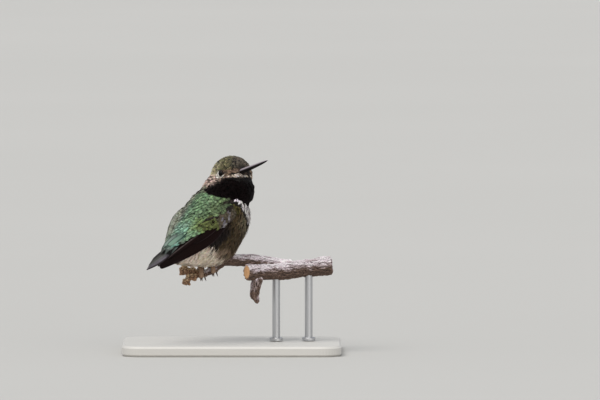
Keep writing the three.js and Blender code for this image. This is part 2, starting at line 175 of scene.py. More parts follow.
def mixed(first, second, share):
    """Two colours or lengths, mixed by a share."""
    return np.asarray(first) * (1 - share) + np.asarray(second) * share


def walked(line):
    """How far along a line of points each of them lies."""
    return np.concatenate([[0], np.cumsum(np.linalg.norm(np.diff(line, axis=0), axis=1))])


print("number helpers ready")

# %% [markdown]
# ## Materials as sums
# A procedural material is a small calculation. One class wraps a socket so that the calculation
# can be written as a sum, and one method adds any other node: its settings first, then what
# goes into its sockets.

# %% The material helper


class Signal:
    """One output of a node, used in sums like a number."""

    def __init__(self, finish, socket):
        self.finish, self.socket = finish, socket

    def sum(self, operation, first, second):
        return self.finish.add("Math", {"operation": operation}, {0: first, 1: second})

    def __add__(self, other): return self.sum("ADD", self, other)
    def __radd__(self, other): return self.sum("ADD", other, self)
    def __sub__(self, other): return self.sum("SUBTRACT", self, other)
    def __rsub__(self, other): return self.sum("SUBTRACT", other, self)
    def __mul__(self, other): return self.sum("MULTIPLY", self, other)
    def __rmul__(self, other): return self.sum("MULTIPLY", other, self)


class Finish:
    """A material, its shader, and the one method that adds any node to it."""

    def __init__(self, name, **constants):
        self.material = bpy.data.materials.new(name)
        self.material.use_nodes = True
        self.tree = self.material.node_tree
        self.shader = next(n for n in self.tree.nodes if n.type == "BSDF_PRINCIPLED")
        for key, value in constants.items():
            self.shader.inputs[key.replace("_", " ")].default_value = value

    def add(self, kind, settings=None, sockets=None, out=0):
        """A node of any kind, as the signal it gives out."""
        node = self.tree.nodes.new("ShaderNode" + kind)
        for key, value in (settings or {}).items():
            if key == "stops":
                ramp = node.color_ramp.elements
                while len(ramp) < len(value):
                    ramp.new(0.5)
                for stop, (place, colour) in zip(ramp, value):
                    stop.position, stop.color = place, (*colour, 1)
            else:
                setattr(node, key, value)
        for key, value in (sockets or {}).items():
            self.feed(node.inputs[key], value)
        return Signal(self, node.outputs[out])

    def feed(self, socket, value):
        if isinstance(value, Signal):
            self.tree.links.new(value.socket, socket)
        elif socket.type == "RGBA" and len(value) == 3:
            socket.default_value = (*value, 1)
        else:
            socket.default_value = value

    def give(self, **sockets):
        """Feeds the shader's own sockets."""
        for key, value in sockets.items():
            self.feed(self.shader.inputs[key.replace("_", " ")], value)
        return self.material

    def blend(self, factor, first, second, way="MIX"):
        """Two colours mixed by a factor."""
        return self.add("Mix", {"data_type": "RGBA", "blend_type": way}, {0: factor, 6: first, 7: second}, 2)

    def place(self, scale=(1, 1, 1)):
        """Object coordinates, stretched."""
        spot = self.add("TexCoord", out=3)
        return self.add("Mapping", None, {"Vector": spot, "Scale": scale})

    def noise(self, scale, detail=3.0, rough=0.55, at=None):
        sockets = {"Scale": scale, "Detail": detail, "Roughness": rough}
        sockets["Vector"] = at if at is not None else self.place()
        return self.add("TexNoise", None, sockets)

    def bump(self, height, distance, strength=1.0):
        return self.add("Bump", None, {"Height": height, "Distance": distance, "Strength": strength})


print("material helper ready")

# %% [markdown]
# ## Camera, floor and light
# A bird this small is seen from far off through a long lens, so its shapes are hardly foreshortened
# by nearness. The camera looks along +Y and three degrees down. A wide pale floor fills the view,
# and broad soft lamps stand in for an overcast sky, the strongest one high on the left.

# %% Camera
AIM = Vector((0.02615, 0, 0.05854))
LOOK_DOWN = math.radians(3)
DISTANCE = 3.846
bpy.ops.object.camera_add(
    location=(AIM.x, -DISTANCE * math.cos(LOOK_DOWN), AIM.z + DISTANCE * math.sin(LOOK_DOWN)),
    rotation=(math.radians(90) - LOOK_DOWN, 0, 0))
camera = bpy.context.object
camera.name = "camera"
camera.data.lens = 600
camera.data.sensor_width = 36
camera.data.clip_end = 60
scene.camera = camera
print("camera at", [round(c, 3) for c in camera.location])

# %% Floor
floor_paint = Finish("floor_paint", Roughness=0.9)
floor_mottle = floor_paint.noise(2.0, 2.0)
floor_paint.give(Base_Color=floor_paint.blend(floor_mottle, (0.51, 0.5, 0.475), (0.54, 0.53, 0.505)))
bpy.ops.object.select_all(action="DESELECT")
bpy.ops.mesh.primitive_plane_add(size=40)
floor = bpy.context.object
floor.name = "floor"
floor.data.materials.append(floor_paint.material)
print("floor", floor.dimensions[:])

# %% Lights
scene.view_settings.view_transform = "Standard"
world = bpy.data.worlds.new("sky")
world.use_nodes = True
world.node_tree.nodes["Background"].inputs["Color"].default_value = (0.86, 0.9, 0.96, 1)
world.node_tree.nodes["Background"].inputs["Strength"].default_value = 0.55
scene.world = world


def soft_sun(name, towards, strength, spread, colour):
    """A broad, distant light, so that the whole floor is lit evenly."""
    bpy.ops.object.light_add(type="SUN", location=-Vector(towards))
    light = bpy.context.object
    light.name = name
    light.rotation_euler = Vector(towards).to_track_quat("-Z", "Y").to_euler()
    light.data.energy, light.data.angle, light.data.color = strength, math.radians(spread), colour
    return light


soft_sun("light_sky", (0.42, 0.35, -1.0), 2.0, 50, (1, 0.98, 0.95))
soft_sun("light_front", (-0.45, 1.0, -0.45), 0.8, 60, (1, 0.97, 0.93))

# %% [markdown]
# ## The skin
# Under its feathers the bird is one smooth body. The solids of the head, throat, neck, trunk,
# rump and vent, and the front of each folded wing, are copied, swelled until they overlap, and
# remeshed into a single form. That form is then smoothed and drawn in by the depth of the coat,
# so that no seam shows and the feathers have room to reach the true outline. Copies of the eyes
# fill their sockets, so that the skin closes up to the lids.

# %% One skin for all the flesh
# Depths of the coat in millimetres, the swelling before the remesh, and where a wing's arm ends.
BODY_COAT, HEAD_COAT, EYE_COAT = 0.85, 0.5, 0.25
SWELL = 0.35
SKIN_VOXEL = 0.42
ARM_END = -2.0
FLESH = ("head", "throat", "neck", "trunk", "rump", "vent")
EYES = ("eye_right", "eye_left")
SOCKET = (2.5, 5.9, 0.45)  # the centre of an eye's solid, along the head's axes
ARMS = ("wing_right", "wing_left")


def flesh_copy(node):
    """A copy of one solid, swelled a little; a wing keeps only the arm in front of ARM_END."""
    piece = node_copy(node, "flesh_" + node)
    if node in ARMS:
        in_edit(piece, (bpy.ops.mesh.bisect, {
            "plane_co": TRUNK.room((ARM_END, 0, 0)) * MM, "plane_no": TRUNK.rows[0],
            "use_fill": True, "clear_inner": True}))
    return modified(piece, "DISPLACE", strength=SWELL * MM, mid_level=0)


skin = joined([flesh_copy(node) for node in FLESH + EYES + ARMS], "skin")
modified(skin, "REMESH", mode="VOXEL", voxel_size=SKIN_VOXEL * MM)
in_edit(skin, (bpy.ops.mesh.vertices_smooth, {"factor": 0.5, "repeat": 10}))
skin_spots = numbers(skin.data.vertices, "co", 3) / MM
skin_normals = numbers(skin.data.vertices, "normal", 3)
from_head = np.linalg.norm(skin_spots - HEAD.centre, axis=1)
depth = SWELL + HEAD_COAT + (BODY_COAT - HEAD_COAT) * ease(9, 14, from_head)
from_eye = np.linalg.norm(np.abs(HEAD.local(skin_spots)) - SOCKET, axis=1)
depth -= (HEAD_COAT - EYE_COAT) * ease(2.8, 2.2, from_eye)
skin_spots = (skin_spots - skin_normals * depth[:, None]) * MM
skin.data.vertices.foreach_set("co", skin_spots.ravel().astype(np.float32))
in_edit(skin, (bpy.ops.mesh.vertices_smooth, {"factor": 0.5, "repeat": 4}),
        (bpy.ops.uv.smart_project, {"angle_limit": math.radians(66), "island_margin": 0.004}))
skin.data.uv_layers[0].name = "OFBake"
bpy.ops.object.shade_smooth()
print("skin faces:", len(skin.data.polygons))

# %% [markdown]
# ## Markings
# Skin and feathers share one set of markings. Each marking is a soft-edged region described in the
# trunk's or the head's own directions, so it sits on the body itself and holds from every side.
# Two colours are kept for each place, for the middle and the edge of a feather, and a gloss that
# says how much it shines like metal.

# %% Which part of the body a place belongs to
def tree_of(node):
    """A search tree over one solid."""
    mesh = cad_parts[node].data
    mesh.calc_loop_triangles()
    spots = numbers(mesh.vertices, "co", 3, np.float64) / MM
    return BVHTree.FromPolygons([Vector(s) for s in spots], [tuple(t.vertices) for t in mesh.loop_triangles])


PARTS = FLESH + ARMS
PART_TREES = [tree_of(node) for node in PARTS]


def part_of(spots):
    """The index in PARTS of the solid nearest to each place."""
    reach = np.array([[tree.find_nearest(Vector(s))[3] for tree in PART_TREES] for s in spots])
    return reach.argmin(axis=1)


print("parts:", PARTS)

# %% The colours of the plumage, with painted shade and painted sky light among them
CROWN = (0.055, 0.052, 0.02), (0.34, 0.3, 0.17)
NAPE = (0.35, 0.31, 0.18), (0.52, 0.47, 0.33)
LORE = (0.18, 0.115, 0.075), (0.34, 0.24, 0.17)
EYE_RING = (0.94, 0.89, 0.8), (0.95, 0.92, 0.85)
MALAR = (0.8, 0.66, 0.56), (0.9, 0.78, 0.68)
CHEEK = (0.56, 0.41, 0.35), (0.78, 0.6, 0.53)
SPECKLE = (0.10, 0.066, 0.052), (0.3, 0.21, 0.17)
GORGET = (0.003, 0.0012, 0.0014), (0.009, 0.004, 0.004)
COLLAR = (0.84, 0.8, 0.81), (0.9, 0.87, 0.86)
# In BACK to GOLD_DARK, and in SLATE and BROWN, the edge colour is far darker than the middle: painted shade
# at each feather's tip, for the dark lines between its rows.
BACK = (0.25, 0.4, 0.22), (0.03, 0.05, 0.03)
TEAL = (0.3, 0.5, 0.38), (0.045, 0.075, 0.06)
GOLD_GREEN = (0.3, 0.42, 0.13), (0.08, 0.1, 0.03)
OLIVE = (0.075, 0.072, 0.014), (0.04, 0.038, 0.01)
MOSS = (0.13, 0.17, 0.07), (0.03, 0.035, 0.02)
SKYLIT_GREY_GREEN = (0.47, 0.47, 0.38), (0.2, 0.2, 0.17)
GOLD_DARK = (0.12, 0.098, 0.025), (0.03, 0.022, 0.007)
NECK_GREY = (0.17, 0.16, 0.12), (0.3, 0.28, 0.22)
CROWN_FRONT = (0.035, 0.027, 0.02), (0.32, 0.26, 0.2)
BROW = (0.34, 0.24, 0.17), (0.5, 0.38, 0.28)
STREAK = (0.25, 0.23, 0.25), (0.2, 0.18, 0.2)
SLATE = (0.11, 0.115, 0.11), (0.02, 0.018, 0.018)
BROWN = (0.11, 0.088, 0.055), (0.045, 0.034, 0.022)
# Painted shade: the near-black of shadow lines, of creases and of the flank under the wing.
PAINTED_SHADE = (0.014, 0.007, 0.004), (0.008, 0.004, 0.003)
FLANK = (0.075, 0.047, 0.019), (0.14, 0.1, 0.05)
FLANK_FRONT = (0.2, 0.165, 0.1), (0.3, 0.26, 0.17)
VENT = (0.93, 0.77, 0.63), (0.95, 0.86, 0.75)
BELLY = (0.34, 0.24, 0.17), (0.5, 0.38, 0.29)
EYE_RING_CENTRE = (2.5, 0.45)
# Fine lines on the wing's coverts: pale streaks, and dark lines of painted shade under the green and along
# the notch. Each: its start, its end, its reach and its colours.
WING_LINES = (
    ((-6.8, 14.2, 6.9), (-3.2, 13.3, 10.0), 0.6, STREAK),
    ((-1.6, 14.0, 7.4), (0.9, 13.5, 9.0), 0.4, STREAK),
    ((-8.8, 9.2, 13.9), (-4.2, 11.9, 12.0), 0.35, PAINTED_SHADE),
    ((1.0, 12.5, 10.2), (5.5, 12.1, 8.6), 0.42, PAINTED_SHADE),
    ((5.5, 12.1, 8.6), (8.6, 11.3, 7.0), 0.42, PAINTED_SHADE))
print("plumage colours ready")

# %% Painting one marking over another


class Places:
    """Places on the bird, in the trunk's and the head's directions, and the colours they get."""

    def __init__(self, spots, part):
        self.f, self.r, self.u = TRUNK.local(spots).T
        self.hf, self.hr, self.hu = HEAD.local(spots).T
        self.name = np.array(PARTS)[part]
        self.wobble = (np.sin(self.f * 1.9 + self.r * 1.3)
                       * np.sin(self.r * 2.1 - self.u * 1.7 + 1))
        self.middle, self.edge = np.zeros((2, len(spots), 3))
        self.gloss = np.zeros(len(spots))

    def paint(self, mask, colours, shine=0.0):
        """Lays a middle colour, an edge colour and a gloss over what is there."""
        share = np.clip(mask * 1.0, 0, 1)
        self.middle = mixed(self.middle, colours[0], share[:, None])
        self.edge = mixed(self.edge, colours[1], share[:, None])
        self.gloss = mixed(self.gloss, shine, share)


print("painting ready")

# %% Markings of the back and the shoulder


def back_markings(at):
    """A green back that turns teal low and left and gold to the right, with painted sky light as a paler
    grey-green along its far edge.
    """
    f, r, u, wobble = at.f, at.r, at.u, at.wobble
    at.paint(np.ones(len(f)), BACK, 0.6)
    at.paint(ease(-4, -13, f) * ease(9, 3, r), TEAL, 0.6)
    at.paint(ease(0, -6, r) * ease(9, -4, f), TEAL, 0.55)
    at.paint(ease(1, 5, r) * ease(-15.5, -12.5, f) * ease(-3, -6.5, f) * 0.85, GOLD_GREEN, 0.55)
    at.paint(ease(1, 8, r) * ease(-7, -2, f) * 0.75, MOSS, 0.4)
    at.paint(ease(6.2, 8, r + 0.3 * wobble) * ease(-14.5, -12.5, f) * ease(-4.6, -5.6, f) * 0.8, OLIVE, 0.4)
    # Painted sky light: the far edge of the back is paler grey-green.
    at.paint(ease(-2.5, -6.5, r + 0.3 * wobble) * ease(6, 7.5, u) * 0.85, SKYLIT_GREY_GREEN, 0.25)
    at.middle *= (1 + 0.22 * np.sin(f * 0.9 + r * 0.6 + 2) * np.sin(r * 0.8 - f * 0.35))[:, None]


def shoulder_markings(at):
    """The green ends in a dark notch of painted shade, with bronze and brown below it, and a few fine lines:
    pale streaks and lines of painted shade.
    """
    f, r, u = at.f, at.r, at.u
    low_shoulder = 1.8 * ease(11.2, 9.6, u)
    shoulder = ease(7.5, 9.5, r) * ease(-6.5, -4.5, f + low_shoulder)
    above = u - 10.6 + 0.33 * np.clip(f, -9, 12) + 0.2 * at.wobble
    at.paint(shoulder * ease(0, -0.25, above), BROWN, 0.2)
    at.paint(shoulder * ease(0, -0.25, above) * ease(4.4, 5.6, f), GOLD_DARK, 0.4)
    # Painted shade: the dark notch where the green ends.
    at.paint(shoulder * ease(0.3, 0.05, above) * ease(-1.2, -0.8, above) * ease(0.2, 1.5, f), PAINTED_SHADE)
    place = np.stack([f, r, u], 1)
    for start, end, reach, colours in WING_LINES:
        start, course = np.array(start), np.array(end) - np.array(start)
        share = np.clip((place - start) @ course / (course @ course), 0, 1)
        gap = np.linalg.norm(place - start - share[:, None] * course, axis=1)
        at.paint(ease(reach + 0.3, reach, gap) * ease(6, 9, r), colours)


print("back and shoulder ready")

# %% Markings of the belly, the collar and the vent


def under_markings(at):
    """Brown flanks with painted shade under the wing, a pale vent, and a white collar whose dark inner
    border is painted shadow.
    """
    f, r, u, name, wobble = at.f, at.r, at.u, at.name, at.wobble
    below = ease(0.4, -0.4, u - 6.1 + 0.25 * np.maximum(f + 4, 0) + wobble * 0.4)
    at.paint(below, FLANK, 0.1)
    at.paint(below * ease(1, 6, f) * ease(3, -1, u), FLANK_FRONT, 0.15)
    # Painted shade on the flank under the wing's lower edge.
    at.paint(below * ease(2, -4, f) * ease(0.5, 2.5, u), PAINTED_SHADE)
    at.paint(below * ease(-6, -9.5, u + wobble * 0.5) * ease(6, -2, f), BELLY)
    at.paint(below * ease(5, 1, f + 0.42 * u + 11.9 + wobble) * ease(1, -2, u) * 0.7, BELLY)
    border = f - 8.6 - 0.08 * np.maximum(u, 0) - 0.2 * np.clip(u, -3.5, 0) - 0.8 * np.maximum(-u - 3.5, 0)
    border = border + 0.15 * wobble
    low_neck = (name != "head") * ease(8.6, 7.6, u) * ease(-12.5, -9.5, u + 0.3 * np.abs(r))
    # Painted shadow: the dark inner border of the collar.
    at.paint(low_neck * ease(-1.0, -0.7, border) * ease(2, 6, np.abs(r)), PAINTED_SHADE)
    at.paint(low_neck * ease(-0.1, 0.3, border), COLLAR)
    at.paint(ease(0.6, -0.9, f + 0.42 * np.minimum(u, 2) + 11.9 + wobble * 1.2)
             * ease(6.8, 6.3, u + 4 * ease(0, -4, r)), VENT)
    at.paint(name == "vent", VENT)
    at.paint((name == "rump") * ease(4, 8, u), TEAL, 0.6)
    at.paint((name == "rump") * ease(4.5, 3, u), VENT)
    at.paint(ease(-20.5, -22.5, f) * ease(6, 8, u), SLATE)
    at.paint((name == "trunk") * ease(8.4, 9.4, f) * ease(4, 1, r) * ease(7, 8, u), NECK_GREY)


print("underside ready")

# %% Markings of the head


def head_markings(at):
    """An olive crown, a mottled cheek, a pale ring behind the eye, the dark gorget, and painted shade at the
    gape and on the far side of the chin.
    """
    hf, hr, hu, name, wobble = at.hf, at.hr, at.hu, at.name, at.wobble
    side = np.abs(hr - np.where(hu < -2, 2.0, 0.0) * ease(0, 3, -hu))
    face = (name == "head") * 1.0
    on_head = (name == "head") | (name == "neck")
    at.paint(on_head, NAPE, 0.2)
    at.paint(face * ease(-3, 2, hf + 0.4 * hu + 0.5 * wobble), CROWN, 0.15)
    at.paint(face * ease(1, 5, hf - 0.8 * hr), CROWN_FRONT, 0.1)
    at.paint(face * ease(3.8, 6.2, hr) * ease(3.4, 0.8, hf) * ease(7, 4.5, hu) * 0.85, NAPE)
    cheek = on_head * ease(1.4, -0.2, hu + 0.12 * hf) * ease(3.2, 5, side)
    fleck = ease(0.0, 0.4, np.sin(hf * 4.9 + hu * 3.1) * np.sin(hu * 5.7 - hf * 2.7 + hr * 1.3))
    at.paint(cheek, CHEEK)
    at.paint(cheek * fleck, SPECKLE)
    at.paint(face * ease(2.8, 4.2, hf) * ease(1.8, 0.8, hu) * ease(0, 1.5, side), LORE)
    at.paint(face * ease(6.4, 7.2, hf) * ease(0.9, 0.3, hu) * ease(-0.5, 0, hu) * ease(0.8, 1.6, side), BROW)
    # Painted shade: a dark line in the crease of the gape.
    at.paint(face * ease(5.4, 6.2, hf) * ease(-0.1, -0.4, hu) * ease(0.8, 1.6, side), PAINTED_SHADE)
    line = -1.5 - 0.3 * ease(4, -2.5, hr) + 0.2 * wobble
    thick = 0.2 + 0.4 * ease(5, 2.5, side) + 0.2 * fleck
    malar = face * (np.abs(hu - line) < thick) * ease(2.5, 4, hf)
    at.paint(malar * ease(5.4, 4.4, side), MALAR)
    at.paint(malar * ease(4.4, 5.4, side) * (1 - fleck), CHEEK)
    chin = face * ease(-4, -3.2, hr) * ease(-2.3, -1.8, hu) * ease(0.8, 0.2, hu) * ease(5, 6, hf)
    at.paint(chin * ease(-0.6, -1.6, hr), LORE)
    # Painted shade on the far side of the chin, under the bill.
    at.paint(chin * ease(-1.6, -2.2, hr), PAINTED_SHADE)
    reach = np.hypot(hf - EYE_RING_CENTRE[0], hu - EYE_RING_CENTRE[1])
    beside = face * ease(4, 5.5, side)
    at.paint(beside * ease(2.6, 2.1, reach) * ease(1.8, 2.6, hf) * ease(1.8, 1.0, hu), LORE)
    at.paint(beside * ease(2.05, 1.7, reach) * ease(2.4, 1.8, hf + 0.15 * hu), EYE_RING)
    at.paint(beside * ease(2.1, 1.75, reach) * ease(-0.1, -0.5, hu) * (1 - 0.7 * fleck), EYE_RING)
    throat = name == "throat"
    at.paint(throat, GORGET, 0.3)
    at.paint(face * ease(-2.3, -2.9, hu + 0.3 * wobble) * ease(-2.5, -0.5, hf), GORGET, 0.3)
    dapple = ease(-0.35, 0.25, np.sin(hf * 3.7 + hr * 1.1) * np.sin(hu * 4.1 + hf * 1.3))
    at.paint(throat * ease(4.8, 2.2, hf) * ease(-4.6, -3.0, hu) * dapple * 0.85, CHEEK)


def plumage(spots, part):
    """Middle colour, edge colour and gloss of the feathers seen at these places."""
    at = Places(spots, part)
    for markings in (back_markings, shoulder_markings, under_markings, head_markings):
        markings(at)
    return at.middle, at.edge, at.gloss


print("markings ready")

# %% [markdown]
# ## One vane, many times
# A small feather is a thin closed vane: a cupped upper sheet of a few faces, a flat underside
# and two small ends. It is worked out once as a template and then placed thousands of times by
# arithmetic, which is far quicker than an operator for each. Every vane is bent through three
# points, so that it follows the body beneath it.

# %% The template of a vane
ACROSS = np.array([-1, -0.5, 0, 0.5, 1])
ALONG = np.array([0, 0.2, 0.45, 0.7, 0.88, 1])


def vane_faces(rows, columns=5):
    """Corner lists of a closed vane, the upper sheet first, and how many belong to that sheet."""
    upper = [(i * columns + j, i * columns + j + 1, (i + 1) * columns + j + 1, (i + 1) * columns + j)
             for i in range(rows - 1) for j in range(columns - 1)]
    last = columns - 1
    under = [(i * columns + last, i * columns, (i + 1) * columns, (i + 1) * columns + last)
             for i in range(rows - 1)]
    tip = tuple((rows - 1) * columns + j for j in range(columns))
    root = tuple(range(columns))[::-1]
    return upper + under + [tip, root], len(upper)


def vane_points(root, middle, tip, up, width, shape, cup, rounding, ragged=0.0):
    """Points (vanes, rows * 5, 3) of vanes bent through root, middle and tip."""
    t = ALONG[None, :, None]
    line = (root[:, None] * 2 * (t - 0.5) * (t - 1) - middle[:, None] * 4 * t * (t - 1)
            + tip[:, None] * 2 * t * (t - 0.5))
    course = unit(root[:, None] * (4 * t - 3) - middle[:, None] * (8 * t - 4)
                  + tip[:, None] * (4 * t - 1))
    side = unit(np.cross(course[:, len(ALONG) // 2], up))[:, None]
    lift = np.cross(side, course)
    half = (width[:, None] / 2 * np.asarray(shape)[None])[..., None, None]
    u = ACROSS[None, None, :, None]
    length = np.linalg.norm(tip - root, axis=1)[:, None, None, None]
    back = rounding * length * u ** 2 * (ALONG ** 3)[None, :, None, None]
    if ragged:
        jag = rng.uniform(-1, 1, (len(root), 1, 5, 1)) * (ALONG ** 4)[None, :, None, None]
        back = back + jag * ragged * length
        half = half * (1 + rng.uniform(-ragged, ragged, (len(root), len(ALONG), 1, 1)) * 1.5)
    points = (line[:, :, None] + side[:, :, None] * u * half
              - lift[:, :, None] * cup * half * u ** 2 - course[:, :, None] * back)
    return points.reshape(len(root), -1, 3)


print("a vane has", len(vane_faces(len(ALONG))[0]), "faces")

# %% Vanes into a mesh
BARBS = "vane"


def vane_mesh(name, points, faces, upper, colours, bake_uv, barb_uv, finish):
    """One object of many vanes, with its colours and its two maps."""
    count, size = len(points), points.shape[1]
    corners = np.concatenate([np.array(f) for f in faces])
    sizes = np.array([len(f) for f in faces])
    starts = np.concatenate([[0], np.cumsum(sizes)[:-1]])
    loops = (corners[None] + np.arange(count)[:, None] * size).ravel()
    mesh = bpy.data.meshes.new(name)
    mesh.vertices.add(count * size)
    mesh.vertices.foreach_set("co", (points * MM).ravel().astype(np.float32))
    mesh.loops.add(len(loops))
    mesh.loops.foreach_set("vertex_index", loops.astype(np.int32))
    mesh.polygons.add(count * len(faces))
    mesh.polygons.foreach_set(
        "loop_start", (starts[None] + np.arange(count)[:, None] * len(corners)).ravel().astype(np.int32))
    smooth = np.zeros((count, len(faces)), bool)
    smooth[:, :upper] = True
    mesh.update(calc_edges=True)
    mesh.polygons.foreach_set("use_smooth", smooth.ravel())
    point_values(mesh, "plumage", colours.reshape(-1, 4))
    for label, uv in (("OFBake", bake_uv), (BARBS, barb_uv)):
        layer = mesh.uv_layers.new(name=label)
        layer.uv.foreach_set("vector", uv.reshape(-1, 2)[loops].ravel().astype(np.float32))
    piece = bpy.data.objects.new(name, mesh)
    scene.collection.objects.link(piece)
    mesh.materials.append(finish.material)
    return piece


print("vane meshes ready")

# %% [markdown]
# The feather material reads its colour from the mesh and adds what is finer than a vane: barbs that
# run out from the shaft at a slant, as a small relief and a slight change of tone. The stored gloss
# makes the green and the throat shine a little like metal, as their real feathers do.

# %% The feather finish


def feather_finish(name, barb_count=14.0, roughness=0.62, specular=0.3):
    """The stored colours with barbs and a shine over them."""
    finish = Finish(name, Specular_IOR_Level=specular)
    tint = finish.add("Attribute", {"attribute_name": "plumage"})
    shine = Signal(finish, tint.socket.node.outputs["Alpha"])
    uv = finish.add("UVMap", {"uv_map": BARBS})
    across = finish.add("SeparateXYZ", None, {"Vector": uv})
    along = Signal(finish, across.socket.node.outputs["Y"])
    out = finish.add("Math", {"operation": "ABSOLUTE"}, {0: across - 0.5})
    slant = (along - out * 0.9) * (barb_count * 2 * math.pi)
    barb = finish.add("Math", {"operation": "SINE"}, {0: slant}) * 0.5 + 0.5
    fine = finish.noise(900.0, 2.0)
    tone = barb * 0.3 + fine * 0.4
    dark = finish.blend(1.0, tint, (0.72, 0.7, 0.68), "MULTIPLY")
    bright = finish.blend(1.0, tint, (1.25, 1.25, 1.22), "MULTIPLY")
    finish.give(Base_Color=finish.blend(tone * 1.3, dark, bright),
                Roughness=roughness - shine * 0.22 + fine * 0.08,
                Metallic=shine * 0.55,
                Normal=finish.bump(barb, 0.05 * MM, 0.6))
    return finish


plume = feather_finish("plume")
dark_plume = feather_finish("dark_plume", specular=0.06)
skin_finish = Finish("under_skin", Roughness=0.9)
skin_tint = skin_finish.add("Attribute", {"attribute_name": "plumage"})
skin_finish.give(
    Base_Color=skin_finish.blend(skin_finish.noise(700.0), skin_tint, (0.02, 0.017, 0.014)),
    Normal=skin_finish.bump(skin_finish.noise(1500.0), 0.1 * MM))
skin.data.materials.append(skin_finish.material)
print("feather finishes ready")

# %% [markdown]
# ## Where the feathers grow
# Feathers grow in rows. Rings are laid round the trunk and round the bill, projected to the skin,
# and filled up with scattered places where the rings leave a gap. Each place must keep its own
# distance from its neighbours: short on the face, longer on the back.

# %% The skin as numbers
skin_mesh = skin.data
skin_mesh.calc_loop_triangles()
SKIN_SPOTS = numbers(skin_mesh.vertices, "co", 3).astype(float) / MM
SKIN_NORMALS = numbers(skin_mesh.vertices, "normal", 3).astype(float)
SKIN_CORNERS = numbers(skin_mesh.loop_triangles, "vertices", 3, np.int32)
skin_loops = numbers(skin_mesh.loop_triangles, "loops", 3, np.int32)
SKIN_MAP = numbers(skin_mesh.uv_layers["OFBake"].uv, "vector", 2)[skin_loops].astype(float)
skin_tree = BVHTree.FromPolygons([Vector(s) for s in SKIN_SPOTS], SKIN_CORNERS.tolist())


def on_skin(spots):
    """The nearest places on the skin, their normals, and where they lie on its map."""
    found = [skin_tree.find_nearest(Vector(s)) for s in spots]
    place = np.array([f[0][:] for f in found])
    index = np.array([f[2] for f in found])
    a, b, c = (SKIN_SPOTS[SKIN_CORNERS[index, k]] for k in range(3))
    face = np.cross(b - a, c - a)
    area = np.maximum((face * face).sum(1), 1e-12)
    share_b = (np.cross(place - a, c - a) * face).sum(1) / area
    share_c = (np.cross(b - a, place - a) * face).sum(1) / area
    share = np.clip(np.stack([1 - share_b - share_c, share_b, share_c], 1), 0, 1)
    normal = unit((SKIN_NORMALS[SKIN_CORNERS[index]] * share[:, :, None]).sum(1))
    return place, normal, (SKIN_MAP[index] * share[:, :, None]).sum(1)


print("skin area, square mm:", round(sum(p.area for p in skin_mesh.polygons) / MM ** 2))

# %% Rows round the trunk and round the bill
RING_RAYS = 90
RAY_LENGTH = 40


def ring_row(centre, axis_a, axis_b, cone, gap, half_step):
    """Evenly spaced places on the skin where a ring of rays from outside meets it."""
    hits = []
    for angle in np.linspace(0, 2 * np.pi, RING_RAYS, endpoint=False):
        out = math.cos(angle) * axis_a + math.sin(angle) * axis_b
        ray = unit(out + cone)
        hit = skin_tree.ray_cast(Vector(centre + ray * RAY_LENGTH), Vector(-ray))[0]
        if hit is not None:
            hits.append(hit[:])
    if len(hits) < 8:
        return np.empty((0, 3))
    loop = np.array(hits + hits[:1])
    steps = walked(loop)
    count = max(int(steps[-1] / gap), 4)
    at = (np.arange(count) + half_step) / count * steps[-1]
    return np.stack([np.interp(at, steps, loop[:, k]) for k in range(3)], 1)


def trunk_rows(gap, step):
    """Rings square to the trunk, from the neck to the tail."""
    rows = []
    for i, forward in enumerate(np.arange(17, -24, -step)):
        centre = TRUNK.room((forward, 0, 1.5))
        rows.append(ring_row(centre, TRUNK.rows[1], TRUNK.rows[2], 0.0, gap, 0.5 * (i % 2)))
    return np.concatenate(rows)


def head_rows(gap):
    """Cones that open from the bill."""
    rows = []
    for i, angle in enumerate(np.arange(14, 165, math.degrees(gap / 8.4))):
        turn = math.radians(angle)
        cone = HEAD.rows[0] / max(math.tan(turn), 1e-3) if abs(angle - 90) > 0.5 else 0.0
        rows.append(ring_row(HEAD.room((0, 0, -1)), HEAD.rows[1], HEAD.rows[2], cone, gap, 0.5 * (i % 2)))
    return np.concatenate(rows)


print("rows ready")

# %% The tracts of feathers
# Each tract: gap, length, width, height of the tip, tip rounding, raggedness, variety of tone,
# how far the edge colour runs down the sides, and how much painted shade darkens the roots.
TRACTS = {
    "face": (0.36, 1.0, 0.52, 0.4, 0.16, 0.06, 0.3, 0.8, 0.2),
    "crown": (0.48, 1.4, 0.8, 0.52, 0.14, 0.06, 0.5, 0.9, 0.6),
    "neck": (0.52, 1.9, 0.95, 0.66, 0.14, 0.06, 0.22, 0.6, 0.4),
    "gorget": (0.6, 1.8, 1.25, 0.6, 0.1, 0.04, 0.25, 0.2, 0.5),
    "back": (0.6, 3.1, 1.3, 0.72, 0.16, 0.12, 0.26, 0.5, 0.6),
    "belly": (0.52, 3.0, 0.75, 0.88, 0.16, 0.13, 0.28, 0.8, 0.4),
    "vent": (0.52, 3.4, 1.1, 0.85, 0.16, 0.15, 0.05, 0.8, 0.0),
}
BARE = "bare"
# The eye's centre along the head's axes, its radius, how far forward it looks and how wide its
# lids stand open, and where the bill comes out of the face.
EYE = (2.62, 6.12, 0.5)
EYE_RADIUS = 1.6
EYE_FORWARD = 0.5
LID_OPENING = 1.3
BILL_START = 6.6


